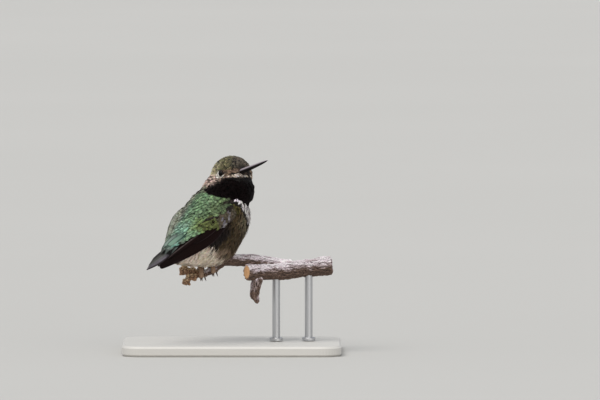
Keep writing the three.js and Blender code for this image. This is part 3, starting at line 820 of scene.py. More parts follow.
def tract_of(spots, part):
    """The name of the tract each place belongs to, and BARE where nothing grows."""
    f, r, u = TRUNK.local(spots).T
    hf, hr, hu = HEAD.local(spots).T
    name = np.array(PARTS)[part]
    tract = np.full(len(spots), "back", "<U8")
    tract[(u < 5.8 - 0.1 * np.maximum(f, 0)) & (name == "trunk")] = "belly"
    tract[(name == "trunk") & (u < 6.5) & (f < -9.5)] = "vent"
    tract[(name == "vent") | ((name == "rump") & (u < 6))] = "vent"
    tract[(f < -20.3) & (u > 7)] = BARE
    tract[np.isin(name, ARMS)] = BARE
    tract[name == "neck"] = "neck"
    head = name == "head"
    tract[head] = "crown"
    tract[head & (hf + 0.4 * hu < -3)] = "neck"
    tract[head & (hf > 0.5) & (hu < 2.2 - 0.1 * hf)] = "face"
    tract[name == "throat"] = "gorget"
    eye_gap = np.hypot(hf - EYE[0], hu - EYE[2])
    tract[(eye_gap < LID_OPENING + 0.1) & (np.abs(hr) > 4.5) & head] = BARE
    tract[(hf > BILL_START) & (np.hypot(hr, hu) < 1.0)] = BARE
    return tract


print("tracts:", list(TRACTS))

# %% Scatter the roots
# A cell of the search grid is wider than any gap. Crowding sets the roots a little closer than
# their tract's gap, to close the last holes. The rows are given by their spacing in millimetres.
CELL = 0.9
CROWDING = 0.93
LOOSE_PLACES = 90000
HEAD_ROWS = (0.42, 0.52)
TRUNK_ROWS = (0.64, 0.86)


def spread(candidates, gaps):
    """Keeps each candidate that lies no nearer than its own gap to one already kept."""
    grid, kept = {}, []
    for i, (spot, gap) in enumerate(zip(candidates.tolist(), gaps.tolist())):
        cell = tuple(int(c // CELL) for c in spot)
        cells = product(*((c - 1, c, c + 1) for c in cell))
        if all(math.dist(spot, other) >= gap for near in cells for other in grid.get(near, ())):
            grid.setdefault(cell, []).append(spot)
            kept.append(i)
    return np.array(kept)


def loose_places(count):
    """Random places, evenly spread over the skin."""
    a, b, c = SKIN_SPOTS[SKIN_CORNERS].transpose(1, 0, 2)
    areas = np.linalg.norm(np.cross(b - a, c - a), axis=1)
    chosen = rng.choice(len(areas), count, p=areas / areas.sum())
    share_b, share_c = rng.random((2, count, 1))
    fold = share_b + share_c > 1
    share_b, share_c = np.where(fold, 1 - share_b, share_b), np.where(fold, 1 - share_c, share_c)
    return a[chosen] * (1 - share_b - share_c) + b[chosen] * share_b + c[chosen] * share_c


print("scattering ready")

# %% The roots of all the feathers
loose = loose_places(LOOSE_PLACES)
head_places = np.concatenate([head_rows(gap) for gap in HEAD_ROWS])
ordered = np.concatenate([head_places, trunk_rows(*TRUNK_ROWS)])
ordered += rng.normal(0, 0.06, ordered.shape)
candidates, candidate_normals, candidate_map = on_skin(np.concatenate([ordered, loose]))
candidate_part = part_of(candidates)
candidate_tract = tract_of(candidates, candidate_part)
on_bird_head = np.isin(np.array(PARTS)[candidate_part], ("head", "throat", "neck"))
index = np.arange(len(candidates))
from_head = index < len(head_places)
from_trunk = ~from_head & (index < len(ordered))
strays = (from_head & ~on_bird_head) | (from_trunk & on_bird_head)
usable = index[(candidate_tract != BARE) & ~strays]
gaps = np.array([TRACTS[tract][0] for tract in candidate_tract[usable]]) * CROWDING
roots_kept = usable[spread(candidates[usable], gaps)]
print("feathers:", len(roots_kept), "of", len(usable), "places")

# %% [markdown]
# ## Which way they lie
# On the head every feather points away from the bill, and on the trunk towards the tail. The neck
# turns smoothly from one to the other. Round the eye the feathers part, so that none lies over it.

# %% The lie of the coat


def lie_of(spots, normals, part):
    """The direction of a feather along the skin at each place."""
    name = np.array(PARTS)[part]
    from_bill = unit(spots - HEAD.room((BILL_START + 2.5, 0, 0.4)))
    tailward = unit(-TRUNK.rows[0] - 0.12 * np.array([0, 0, 1]))
    distance = np.linalg.norm(spots - HEAD.centre, axis=1)
    head_share = np.where(name == "throat", 1.0, 1 - ease(8.3, 12.5, distance))[:, None]
    lie = mixed(tailward, from_bill, head_share)
    local = HEAD.local(spots)
    away = np.stack([local[:, 0] - EYE[0], np.zeros(len(spots)), local[:, 2] - EYE[2]], 1)
    gap = np.linalg.norm(away, axis=1)
    push = (1.6 * ease(3.4, 1.6, gap) * (np.abs(local[:, 1]) > 4.2) * (name == "head"))[:, None]
    lie = lie + push * (unit(away) @ HEAD.rows)
    return unit(lie - normals * (lie * normals).sum(1, keepdims=True))


print("lie of the coat ready")

# %% Tints and map of a small vane
PATCH = 0.003
FACES, UPPER = vane_faces(len(ALONG))
CONTOUR = (0.3, 0.78, 1.0, 1.0, 0.82, 0.45)
LOOSE = (0.3, 0.7, 0.95, 0.85, 0.6, 0.28)


def vane_tints(middle, edge, gloss, vary, sides=0.8, root_shade=0.45):
    """The colour at every point of each vane: painted shade at the root, its edge colour at the rim."""
    count = len(middle)
    tone = rng.normal(1, vary, (count, 1)) * (1 + rng.normal(0, 0.035, (count, 3)))
    rim = np.maximum(np.abs(ACROSS)[None] ** 3 * sides, ease(0.8, 1, ALONG)[:, None]).reshape(1, -1)
    rim = rim * rng.uniform(0.4, 1, (count, 1))
    # Painted shade darkens each vane towards its root, where the feathers above shade it.
    base = ease(0.45, 0.05, np.repeat(ALONG, 5))
    colour = mixed((middle * tone)[:, None], (edge * tone)[:, None], rim[..., None])
    colour = np.clip(colour * (1 - root_shade * base[None, :, None]), 0.001, 0.95)
    shine = np.clip(gloss[:, None] * (1 - 0.35 * rim), 0, 1)
    return np.concatenate([colour, shine[:, :, None]], axis=2)


def patches(uv):
    """A small patch of the skin's map for each vane, and the vane's own map."""
    local = np.stack([np.tile((ACROSS + 1) / 2, len(ALONG)), np.repeat(ALONG, 5)], 1)
    return uv[:, None] + PATCH * (local[None] - 0.5), np.repeat(local[None], len(uv), axis=0)


print("a patch of the map is", PATCH, "wide")

# %% Grow one tract
ROOT_DEPTH = 0.15


def grow(name, tract, pick):
    """Feathers of one tract as one object."""
    gap, length, width, tip_high, rounding, ragged, vary, sides, root_shade = TRACTS[tract]
    cup = 0.1 if tract == "back" else 0.17
    spots, normals = candidates[pick], candidate_normals[pick]
    part, uv = candidate_part[pick], candidate_map[pick]
    count = len(pick)
    lie = lie_of(spots, normals, part)
    sway = rng.normal(0, 0.1 + ragged, (count, 1))
    lie = unit(lie + sway * np.cross(normals, lie))
    hf, hr, hu = HEAD.local(spots).T[..., None]
    eye_gap = np.hypot(hf - EYE[0], hu - EYE[2])
    short = np.where((np.abs(hr) > 4) & (eye_gap < 3), 0.6, 1.0)
    hang = (tract == "gorget") * ease(-6.5, -9.5, hu) * ease(1, 4, hf) * ease(4, 0, hr)
    reach = length * rng.normal(1, 0.07 + 0.5 * ragged, (count, 1)) * short * (1 + 0.35 * hang)
    middle_spot, middle_normal, _ = on_skin(spots + lie * reach * 0.5)
    tip_spot, tip_normal, _ = on_skin(spots + lie * reach)
    ruff = (tract == "belly") * ease(7.5, 9.5, TRUNK.local(spots)[:, :1])
    high = tip_high * (1 + rng.normal(0, 0.08 + ragged, (count, 1))) + 0.3 * hang + 0.25 * ruff
    points = vane_points(spots - normals * ROOT_DEPTH, middle_spot + middle_normal * (high * 0.72),
                         tip_spot + tip_normal * high, middle_normal,
                         width * rng.normal(1, 0.06, count),
                         LOOSE if ragged > 0.1 else CONTOUR, cup, rounding, ragged)
    shown = tip_spot - lie * gap * 0.5
    shown_part = np.where(part == PARTS.index("throat"), part, part_of(shown))
    inner, outer, gloss = plumage(shown, shown_part)
    vary = np.where(inner.min(axis=1) > 0.6, min(vary, 0.1), vary)[:, None]
    tints = vane_tints(inner, outer, gloss, vary, sides, root_shade)
    piece = vane_mesh(name, points, FACES, UPPER, tints, *patches(uv),
                      dark_plume if tract == "gorget" else plume)
    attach(piece, "root")
    return piece


print("growing ready")

# %% The seven coats
COATS = {
    "coat_face": ("face", "crown_feathers"), "coat_crown": ("crown", "crown_feathers"),
    "coat_neck": ("neck", "crown_feathers"), "coat_gorget": ("gorget", "gorget_feathers"),
    "coat_back": ("back", "back_feathers"), "coat_belly": ("belly", "body_feathers"),
    "coat_vent": ("vent", "vent_feathers"),
}
for coat, (tract, slot) in COATS.items():
    pick = roots_kept[candidate_tract[roots_kept] == tract]
    piece = grow(coat, tract, pick)
    print(coat, len(pick), "feathers,", sum(len(p.vertices) - 2 for p in piece.data.polygons), "triangles")

# %% Markings on the skin, and what it stands for
skin_part = part_of(SKIN_SPOTS)
inner, outer, gloss = plumage(SKIN_SPOTS, skin_part)
pale_skin = 0.6 + 0.35 * ease(0.7, 0.85, inner.mean(axis=1, keepdims=True))
skin_colours = np.concatenate([inner * pale_skin, gloss[:, None] * 0], axis=1)
point_values(skin_mesh, "plumage", skin_colours)
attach(skin, "root")
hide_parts(*FLESH)
print("skin stands for", FLESH)

# %% [markdown]
# ## Wings
# A folded wing is a stack of long vanes. The ten primaries start at the wrist and run back to the
# blunt tip, the outermost lowest in the stack, and the six short secondaries lie over them against
# the back. A surface is stretched between the wing's lower and upper edges, and each feather is a
# long vane laid along it, one layer further out than the last. Spelled out as arrays, a vane can
# follow that surface exactly.

# %% The surface of a folded wing
WING_LOWER = ((9, 10.4, 3.4), (3, 12.8, 4.6), (-4, 13.4, 5.6), (-11, 13, 5.6),
              (-18, 11.6, 6.9), (-25, 9.2, 9.3), (-31, 6.9, 12.1), (-35.5, 5.1, 14.4))
WING_UPPER = ((9, 9.6, 6.4), (3, 9.8, 11), (-4, 9.4, 12.6), (-11, 8.2, 13.6),
              (-18, 6.4, 14.8), (-25, 4.9, 15.6), (-31, 4.1, 16.6), (-35, 4.1, 17))
WING_THICKNESS = (1.4, 2.8, 3.2, 3, 2.4, 1.8, 1.3, 0.9)


def far_wing(points):
    """The far wing is closer to the body, lower and shorter, and tucked in behind."""
    f, r, u = np.array(points, float).T
    behind = np.clip((-f - 5) / 24, 0, 1)
    return np.stack([np.where(f < 0, f * 0.83, f), -r * 0.87 + behind, u - 1.7 - 3.2 * behind], 1)


def through(values, t):
    """A smooth curve through evenly spaced values, at 0 to 1."""
    values = np.asarray(values, float)
    if values.ndim == 1:
        values = values[:, None]
    at = np.clip(np.asarray(t, float), 0, 1) * (len(values) - 1)
    k = np.minimum(at.astype(int), len(values) - 2)
    x = (at - k)[..., None]
    a, b, c, d = (values[np.clip(k + step, 0, len(values) - 1)] for step in (-1, 0, 1, 2))
    return 0.5 * (2 * b + (c - a) * x + (2 * a - 5 * b + 4 * c - d) * x ** 2
                  + (3 * b - a - 3 * c + d) * x ** 3)


def blade_frame(lower, upper, t, outward):
    """The blade's lower edge, its upper edge and the way its face looks, at t from root to tip."""
    low, high = TRUNK.room(through(lower, t)), TRUNK.room(through(upper, t))
    ahead, behind = (TRUNK.room(through(lower, t + step)) + TRUNK.room(through(upper, t + step))
                     for step in (0.01, -0.01))
    return low, high, unit(np.cross(high - low, ahead - behind)) * outward


def blade(edges, t, across, layer, outward):
    """Places on a blade in the room: t runs root to tip, across runs lower to upper edge."""
    lower, upper, thickness = edges
    low, high, normal = blade_frame(lower, upper, t, outward)
    dome = np.sqrt(np.clip(1 - (2 * across - 1) ** 2, 0, 1))[..., None]
    thick = through(thickness, t) / 2 * (0.25 + 0.75 * dome)
    return low + (high - low) * across[..., None] + normal * (thick + layer), normal


print("wing surface ready")

# %% A long vane on a blade
LONG_ROWS = 22
LONG_ACROSS = np.array([-1, -0.86, -0.5, -0.1, 0.0, 0.1, 0.5, 0.86, 1])
LONG_FACES, LONG_UPPER = vane_faces(LONG_ROWS, len(LONG_ACROSS))
FLIGHT_GLOSS = 0.25


def long_vane(edges, start, end, root_across, tip_across, narrow, broad, layer, outward,
              point=7.0, blunt=0.5, of_width=0.0):
    """Points of one flight feather: narrow and broad are its two sides in millimetres.

    With of_width they narrow with the blade, and hold where the blade is that wide."""
    lower, upper, _ = edges
    v = np.linspace(0, 1, LONG_ROWS)
    v = 1 - (1 - v) ** 1.35
    t = start + (end - start) * v
    middle = root_across + (tip_across - root_across) * v ** 1.2
    taper = np.clip(1 - v ** point, 0, 1) ** blunt * (0.35 + 0.65 * ease(0, 0.3, v))
    height = of_width or np.linalg.norm(through(upper, t) - through(lower, t), axis=1)[:, None]
    u = LONG_ACROSS[None]
    side = np.where(u < 0, narrow, broad) * u * taper[:, None]
    across = np.clip(middle[:, None] + side / height, 0, 1)
    spots, normal = blade(edges, t[:, None] + 0 * across, across, layer, outward)
    ridge = 0.08 * np.exp(-(u / 0.12) ** 2) - 0.14 * u ** 2
    return spots + normal * ridge[..., None]


print("a flight feather has", len(LONG_FACES), "faces")

# %% Colours and map of a flight feather


def flight_colours(base, rim, rim_side, tip, shaft):
    """Colours along one flight feather, with a paler rim on one side and a shaft."""
    v = np.linspace(0, 1, LONG_ROWS)[:, None]
    u = LONG_ACROSS[None]
    colour = np.array(base) + (np.array(tip) - np.array(base)) * (v ** 3)[..., None]
    edge = (np.clip(u * rim_side, 0, 1) ** 8 * (0.4 + 0.6 * ease(1, 0.4, v)))[..., None]
    stem = np.exp(-(u / 0.08) ** 2)[..., None] * 0.6
    colour = mixed(mixed(colour, rim, edge), shaft, stem)
    return np.concatenate([colour, np.full(colour.shape[:2] + (1,), FLIGHT_GLOSS)], axis=2).reshape(-1, 4)


def strip_map(index, count):
    """Each long feather has its own strip of the map, with a margin, and barbs six times as fine."""
    u = (LONG_ACROSS + 1) / 2
    v = np.linspace(0, 1, LONG_ROWS)
    grid = np.stack(np.meshgrid(u, v), axis=2).reshape(-1, 2)
    return grid * (0.92 / count, 0.98) + (index / count + 0.02 / count, 0.01), grid * (1, 6)


def long_piece(name, vanes, colours, outward, slot, *nodes):
    """Long feathers as one object that stands for a solid."""
    points = np.array([v.reshape(-1, 3) for v in vanes])
    bake, barb = zip(*(strip_map(i, len(vanes)) for i in range(len(vanes))))
    faces = LONG_FACES if outward > 0 else [f[::-1] for f in LONG_FACES]
    piece = vane_mesh(name, points, faces, LONG_UPPER, np.array(colours), np.array(bake), np.array(barb),
                      flight)
    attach(piece, "root")
    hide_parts(*nodes)
    return piece


flight = feather_finish("flight_plume", barb_count=60.0, roughness=0.5, specular=0.04)
print("flight feathers ready")

# %% Both wings
WING_DARK = (0.008, 0.0025, 0.0025)
# Painted sheen: the paler rim along the narrow edge of each primary and secondary.
WING_SHEEN_RIM = (0.06, 0.042, 0.045)
WING_TIP = (0.006, 0.003, 0.003)
WING_SHAFT = (0.02, 0.012, 0.01)
PALE_RIM = (0.3, 0.24, 0.23)


def wing(name, node, lower, upper, outward, share):
    """Ten primaries, a pale-rimmed feather over them, and six secondaries."""
    edges = (lower, lower + (upper - lower) * share, WING_THICKNESS)
    vanes, colours = [], []

    def lay(*shape, rim=WING_SHEEN_RIM, rim_side=-1, **more):
        vanes.append(long_vane(edges, *shape, outward, **more))
        colours.append(flight_colours(WING_DARK, rim, rim_side, WING_TIP, WING_SHAFT))

    # Each: its start and end along the wing, its root and tip across it, its two half widths and
    # its height over the blade.
    for k in range(10):
        lay(0.1 + 0.015 * k, 1.0 - 0.032 * k, 0.12 + 0.052 * k, 0.42 + 0.035 * k,
            1.0, 2.4, -0.75 + 0.07 * k, blunt=0.42)
    lay(0.2, 0.84, 0.6, 0.74, 1.0, 1.3, 0.02, rim=PALE_RIM, rim_side=1, point=4.0, blunt=0.7)
    for k in range(6):
        lay(0.18, 0.58 - 0.035 * k, 0.46 + 0.05 * k, 0.6 + 0.03 * k, 1.1, 1.4, 0.05 + 0.06 * k, blunt=0.4)
    return long_piece(name, vanes, colours, outward, "wing_feathers", node)


wing_right = wing("wing_vanes_right", "wing_right", np.array(WING_LOWER), np.array(WING_UPPER), 1, 1.0)
wing("wing_vanes_left", "wing_left", far_wing(WING_LOWER), far_wing(WING_UPPER), -1, 0.85)
print("wing vanes:", len(wing_right.data.polygons), "faces each")

# %% [markdown]
# The quills are covered by rows of small feathers: over the whole outer face at the shoulder, and
# further back only along the upper edge, where the back's own long feathers fall over it. They
# are set round the blade's rounded section, so that they also close the gap to the back.

# %% Places round a blade's section
BLADE_LENGTH = 45.0
COVER_GAP, COVER_LENGTH, COVER_WIDTH, COVER_HEIGHT = 0.66, 3.0, 1.2, 0.5
TURN_STEPS = 80
COVER_END = 0.6
COVER_EDGE = ((0, 0.05), (0.1, 0.1), (0.2, 0.14), (0.275, 0.22), (0.3, 0.42), (0.34, 0.58),
              (0.38, 0.68), (0.42, 0.75), (0.47, 0.82), (0.54, 0.9))
FAR_COVER_EDGE = ((0, 0.1), (0.1, 0.4), (0.2, 0.6), (0.4, 0.7), (0.6, 0.8))
INNER_TURN = math.radians(-75)


def round_blade(edges, t, turn, outward, depth=0.0):
    """Places round the section: turn 0 is the upper edge and a quarter turn the outer face."""
    lower, upper, thickness = edges
    low, high, normal = blade_frame(lower, upper, t, outward)
    half = (high - low) / 2
    wide = np.linalg.norm(half, axis=1, keepdims=True)
    thick = through(thickness, t) / 2
    c, s = np.cos(turn)[:, None], np.sin(turn)[:, None]
    out = unit(half / wide * c / wide + normal * s / thick)
    return (low + high) / 2 + half * c + normal * thick * s - out * depth, out


print("blade sections ready")

# %% The covering feathers of both wings


def cover(name, lower, upper, outward, cover_edge, depth):
    """Rows of covering feathers on one wing."""
    edges = (lower, upper, WING_THICKNESS)
    t_all, turn_all = [], []
    for row, t in enumerate(np.arange(0.015, COVER_END, COVER_GAP / BLADE_LENGTH)):
        edge = np.interp(t, *np.array(cover_edge).T)
        turns = np.linspace(INNER_TURN, math.acos(2 * edge - 1), TURN_STEPS)
        line, _ = round_blade(edges, np.full(TURN_STEPS, t), turns, outward)
        steps = walked(line)
        count = max(int(steps[-1] / COVER_GAP), 3)
        at = (np.arange(count) + 0.5 * (row % 2) + 0.25) / count * steps[-1]
        turn_all.append(np.interp(at, steps, turns))
        t_all.append(np.full(count, t))
    t, turn = np.concatenate(t_all), np.concatenate(turn_all)
    count = len(t)
    t = np.clip(t + rng.normal(0, 0.004, count), 0, 1)
    turn = turn + rng.normal(0, 0.04, count)
    length = COVER_LENGTH * rng.normal(1, 0.12, count)
    width = COVER_WIDTH * rng.normal(1, 0.1, count)
    reach = length / BLADE_LENGTH
    root, root_up = round_blade(edges, t, turn, outward, depth)
    middle, middle_up = round_blade(edges, t + reach / 2, turn, outward, depth)
    tip, tip_up = round_blade(edges, t + reach, turn, outward, depth)
    high = (COVER_HEIGHT * (1 + rng.normal(0, 0.12, count)))[:, None]
    points = vane_points(root - root_up * 0.3, middle + middle_up * high * 0.75, tip + tip_up * high,
                         middle_up, width, LOOSE, cup=0.1, rounding=0.16, ragged=0.12)
    inner, outer, gloss = plumage(tip + tip_up * high, np.full(count, PARTS.index("trunk")))
    _, _, uv = on_skin(root)
    tints = vane_tints(inner, outer, gloss, vary=0.24, sides=0.5, root_shade=0.5)
    piece = vane_mesh(name, points, FACES, UPPER, tints, *patches(uv), plume)
    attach(piece, "root")
    print(name, count, "feathers")
    return piece


cover("coat_wing_right", WING_LOWER, WING_UPPER, 1, COVER_EDGE, 0.0)
cover("coat_wing_left", far_wing(WING_LOWER), far_wing(WING_UPPER), -1, FAR_COVER_EDGE, 0.25)

# %% [markdown]
# ## Tail
# The folded tail is ten vanes, the two middle ones on top and the rest tucked beneath them in turn.
# It is drawn on a second blade in the same way. Over its root lie a few large teal coverts.

# %% The tail
TAIL_LEFT = ((-17, -3.4, 9.2), (-22, -4, 10.9), (-28, -3.7, 12.9), (-33, -2.9, 14.6), (-36.4, -2.1, 15.6))
TAIL_RIGHT = ((-17, 3.4, 9.2), (-22, 4.2, 10.9), (-28, 3.8, 12.9), (-33, 1.9, 14.6), (-36.2, -1.1, 15.6))
TAIL_THICKNESS = (2, 2.2, 1.9, 1.5, 0.9)
TAIL_SPREAD = 7.0
# The left half of the tail is pale slate, partly its own grey and partly painted sheen. The dark rim colour
# draws lines of painted shade between the feathers.
TAIL_SHEEN_TONES = ((0.12, 0.11, 0.12), (0.24, 0.215, 0.255), (0.2, 0.185, 0.205),
              (0.17, 0.17, 0.17), (0.1, 0.1, 0.09))
TAIL_DARK = (0.022, 0.013, 0.015)
TAIL_SHADE_RIM = (0.012, 0.008, 0.01)
TAIL_SHAFT = (0.03, 0.025, 0.025)


def tail():
    """Five pairs of feathers, the outermost lowest."""
    edges = (TAIL_LEFT, TAIL_RIGHT, TAIL_THICKNESS)
    vanes, colours = [], []
    for rank in (4, 3, 2, 1, 0):
        for side in (-1, 1):
            centre = 0.5 + side * (0.09 + 0.085 * rank)
            tip = 0.5 + side * (0.08 + 0.07 * rank)
            end = 1.0 - 0.048 * rank - 0.03 * rank * (side > 0)
            vanes.append(long_vane(edges, 0.0, end, centre, tip, 1.1, 1.1,
                                   -0.75 + 0.15 * (4 - rank) + 0.04 * side, 1, point=3.0, blunt=0.9,
                                   of_width=TAIL_SPREAD))
            # The left half gets the pale tones of painted sheen, and the right half stays dark.
            tone = TAIL_DARK if side > 0 else TAIL_SHEEN_TONES[rank]
            colours.append(flight_colours(tone, TAIL_SHADE_RIM, side, tone, TAIL_SHAFT))
    return long_piece("tail_vanes", vanes, colours, 1, "tail_feathers", "tail")


tail_vanes = tail()
print("tail vanes:", len(tail_vanes.data.polygons), "faces")

# %% The large coverts over the tail's root
# Each: forward and right of the root, then of the tip, and the width.
TAIL_COVERTS = ((-14, -2.6, -25.2, -2.8, 3.4), (-14, 4.8, -25, 2.6, 3.4), (-14, 1.6, -25.8, -0.2, 4.2),
                (-13, -1.6, -23, -3.0, 3.4), (-12.6, 2.4, -23.4, -1.4, 3.7), (-11.8, 5.2, -22.8, 0.6, 4.5))


COVERT_TEALS = ((0.17, 0.19, 0.16), (0.11, 0.14, 0.13), (0.16, 0.21, 0.19),
                (0.2, 0.28, 0.22), (0.18, 0.3, 0.23), (0.17, 0.34, 0.26))
COVERT_SHAPE = (0.4, 0.85, 1, 0.95, 0.7, 0.3)
SEEK_HEIGHT, TIP_HEIGHT = 14, 12.75


def on_rump(forward, right):
    """The skin beneath places over the rump."""
    return on_skin(TRUNK.room(np.stack([forward, right, np.full(len(right), SEEK_HEIGHT)], 1)))


def tail_coverts():
    """Six large coverts, each a little higher than the last."""
    root_f, root_r, tip_f, tip_r, width = np.array(TAIL_COVERTS).T
    order = np.arange(len(width))
    root, up, uv = on_rump(root_f, root_r)
    middle, middle_up, _ = on_rump((root_f + tip_f) / 2, (root_r + tip_r) / 2)
    tip = TRUNK.room(np.stack([tip_f, tip_r, TIP_HEIGHT + 0.12 * order], 1))
    points = vane_points(root + up * 0.3, middle + middle_up * (1.05 + 0.1 * order)[:, None], tip,
                         TRUNK.rows[2], width, COVERT_SHAPE, cup=0.1, rounding=0.2)
    teal = np.array(COVERT_TEALS)
    # The edge, at a fifth of the teal, is painted shade round each covert.
    tints = vane_tints(teal, teal * 0.2, np.full(len(width), 0.6), vary=0.03)
    piece = vane_mesh("tail_coverts", points, FACES, UPPER, tints, *patches(uv), plume)
    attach(piece, "root")
    return piece


print(tail_coverts().name, "placed")

# %% [markdown]
# ## Forms drawn out from a disc
# The bill, the toes and the claws are all drawn out: a disc is extruded again and again, and each
# new ring is set to its own outline along a route. The same helper makes them all.

# %% Draw a form out along its rings
def drawn_out(name, rings, finish, slot, levels=1):
    """A closed form: a disc extruded from ring to ring and smoothed by subdivision."""
    bpy.ops.object.select_all(action="DESELECT")
    bpy.ops.mesh.primitive_circle_add(vertices=len(rings[0]), fill_type="NGON")
    piece = bpy.context.object
    bpy.ops.object.mode_set(mode="EDIT")
    for number, ring in enumerate(rings):
        if number:
            bpy.ops.mesh.extrude_region_move()
        drawn = bmesh.from_edit_mesh(piece.data)
        disc = next(f for f in drawn.faces if f.select)
        for vertex, spot in zip([loop.vert for loop in disc.loops], ring):
            vertex.co = Vector(spot) * MM
        bmesh.update_edit_mesh(piece.data)
    bpy.ops.mesh.select_all(action="SELECT")
    bpy.ops.mesh.normals_make_consistent(inside=False)
    bpy.ops.object.mode_set(mode="OBJECT")
    piece.name = piece.data.name = name
    if levels:
        modified(piece, "SUBSURF", levels=levels, render_levels=levels)
    bpy.ops.object.shade_smooth()
    piece.data.materials.append(finish.material)
    if slot:
        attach(piece, "root")
    return piece


def route_rings(route, radii, sides, count, swell=None, flat=1.0):
    """Rings of points round a smooth route."""
    t = np.linspace(0, 1, count)
    line, radius = through(route, t), through(radii, t)[:, 0]
    course = unit(np.gradient(line, axis=0))
    rings = []
    across = np.array((1.0, 0.0, 0.0))
    for i in range(count):
        across = unit(across - course[i] * (across @ course[i]))
        other = np.cross(course[i], across)
        angle = np.linspace(0, 2 * np.pi, sides, endpoint=False)
        size = radius[i] * (1 + (swell(t[i]) if swell else 0))
        rings.append(line[i] + size * (np.cos(angle)[:, None] * across * flat
                                       + np.sin(angle)[:, None] * other))
    return rings


print("drawn-out forms ready")

# %% [markdown]
# ## Bill
# The bill is a long black awl of two mandibles. Each is a half-round section drawn out from the
# face to the tip, and the fine gap between them is the gape. Horn is dark, satin and finely grained,
# and a painted highlight runs along the ridge of the upper mandible, where it faces up.

# %% The bill
BILL_REACH = 24.9
BILL_STATIONS = (0, 0.15, 0.4, 0.65, 0.88, 1)
BILL_WIDTHS = (2.5, 2.2, 1.7, 1.35, 0.95, 0.6)
BILL_DEPTHS = (2.2, 2.05, 1.7, 1.35, 0.9, 0.5)
UPPER_SHARE = 0.56
BILL_RINGS, BILL_SIDES = 15, 16
BILL_ROOT = BILL_START - 2.4

horn = Finish("bill_horn", Specular_IOR_Level=0.12)
horn_grain = horn.noise(260.0)
# The ridge attribute is a painted highlight: pale where the upper mandible faces up.
horn_highlight = horn.add("Attribute", {"attribute_name": "ridge"}, out=2)
horn_base = horn.blend(horn_grain, (0.003, 0.002, 0.002), (0.014, 0.01, 0.01))
horn.give(Base_Color=horn.blend(horn_highlight, horn_base, (0.36, 0.31, 0.34)),
          Roughness=0.3 + horn_grain * 0.2,
          Normal=horn.bump(horn_grain, 0.06 * MM, 0.5))


def mandible(name, sense, share, reach, node):
    """One mandible: sense is 1 for the upper and -1 for the lower, and share is its part of the depth."""
    rings = []
    angle = np.linspace(0, 2 * np.pi, BILL_SIDES, endpoint=False)
    for t in np.linspace(0, 1, BILL_RINGS):
        width = np.interp(t, BILL_STATIONS, BILL_WIDTHS)
        depth = np.interp(t, BILL_STATIONS, BILL_DEPTHS) * share * sense
        close = 1.0 if t < 1 else 0.35
        rise = np.sin(angle)
        high = np.where(rise > 0, rise * depth, 0.05 * rise * depth) * close + 0.02 * sense
        forward = BILL_ROOT + t ** 0.9 * (reach - BILL_ROOT)
        droop = -0.25 * t * (1 - t)
        ring = np.stack([np.full(BILL_SIDES, forward), np.cos(angle) * width / 2 * close, high + droop], 1)
        rings.append(HEAD.room(ring))
    piece = drawn_out(name, rings, horn, "bill")
    up = HEAD.local(numbers(piece.data.vertices, "normal", 3).astype(float) + HEAD.centre)[:, 2]
    # Painted highlight on the upward-facing top of the upper mandible.
    point_values(piece.data, "ridge", ease(0.05, 0.6, up) * (sense > 0))
    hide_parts(node)
    return piece


bill_top = mandible("mandible_upper", 1, UPPER_SHARE, BILL_REACH, "bill_upper")
mandible("mandible_lower", -1, 1 - UPPER_SHARE, BILL_REACH - 0.5, "bill_lower")
print("bill:", len(bill_top.data.polygons), "faces on top")

# %% [markdown]
# ## Eyes
# A bird's eye is a wet dark ball, only partly seen. A sphere is turned so that its pole looks out
# of the socket, its front is drawn out a little as the cornea, and a thin lid is spun round it,
# dark in front and pale behind.

# %% Finishes of the eye and its lid
wet_eye = Finish("wet_eye", Roughness=0.04, Specular_IOR_Level=0.1)
iris_spot = wet_eye.add("Attribute", {"attribute_name": "iris"}, out=2)
iris_grain = wet_eye.noise(1500.0, 2.0)
iris_tone = wet_eye.add("ValToRGB", {"stops": (
    (0.0, (0.002, 0.001, 0.001)), (0.52, (0.003, 0.002, 0.002)),
    (0.62, (0.022, 0.011, 0.007)), (1.0, (0.008, 0.004, 0.003)))}, {0: iris_spot + iris_grain * 0.05})
wet_eye.give(Base_Color=iris_tone)
lid_skin = Finish("lid_skin", Roughness=0.6)
lid_grain = lid_skin.noise(1600.0, 3.0)
lid_pale = lid_skin.add("Attribute", {"attribute_name": "pale"}, out=2)
lid_dark = lid_skin.blend(lid_grain, (0.012, 0.009, 0.008), (0.03, 0.022, 0.018))
lid_skin.give(Base_Color=lid_skin.blend(lid_pale, lid_dark, (0.95, 0.92, 0.86)),
              Normal=lid_skin.bump(lid_grain, 0.05 * MM))


print("eye finishes ready")

# %% Eyeballs
CORNEA = 0.15


def eye_axis(side):
    """The centre of an eye, and the way it looks out."""
    centre = Vector(HEAD.room((EYE[0], side * EYE[1], EYE[2]))) * MM
    return centre, Vector(HEAD.rows[1] * side + HEAD.rows[0] * EYE_FORWARD).normalized()


def eyeball(name, side, node):
    """A ball with its cornea drawn out; the iris is stored by the angle from the pole."""
    centre, out = eye_axis(side)
    turn = out.to_track_quat("Z", "Y").to_euler()
    bpy.ops.object.select_all(action="DESELECT")
    bpy.ops.mesh.primitive_uv_sphere_add(segments=40, ring_count=24, radius=EYE_RADIUS * MM,
                                         location=centre, rotation=turn)
    bpy.ops.object.transform_apply(location=True, rotation=True, scale=True)
    ball = bpy.context.object
    ball.name = ball.data.name = name
    reach = np.array([(v.co - centre).angle(out) for v in ball.data.vertices])
    for vertex, angle in zip(ball.data.vertices, reach):
        vertex.co += out * (CORNEA * MM * (1 - float(ease(0.0, 0.75, angle))))
    point_values(ball.data, "iris", np.clip(reach / 1.1, 0, 1))
    bpy.ops.object.shade_smooth()
    ball.data.materials.append(wet_eye.material)
    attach(ball, "root")
    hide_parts(node)
    return ball


print("eyeballs ready")

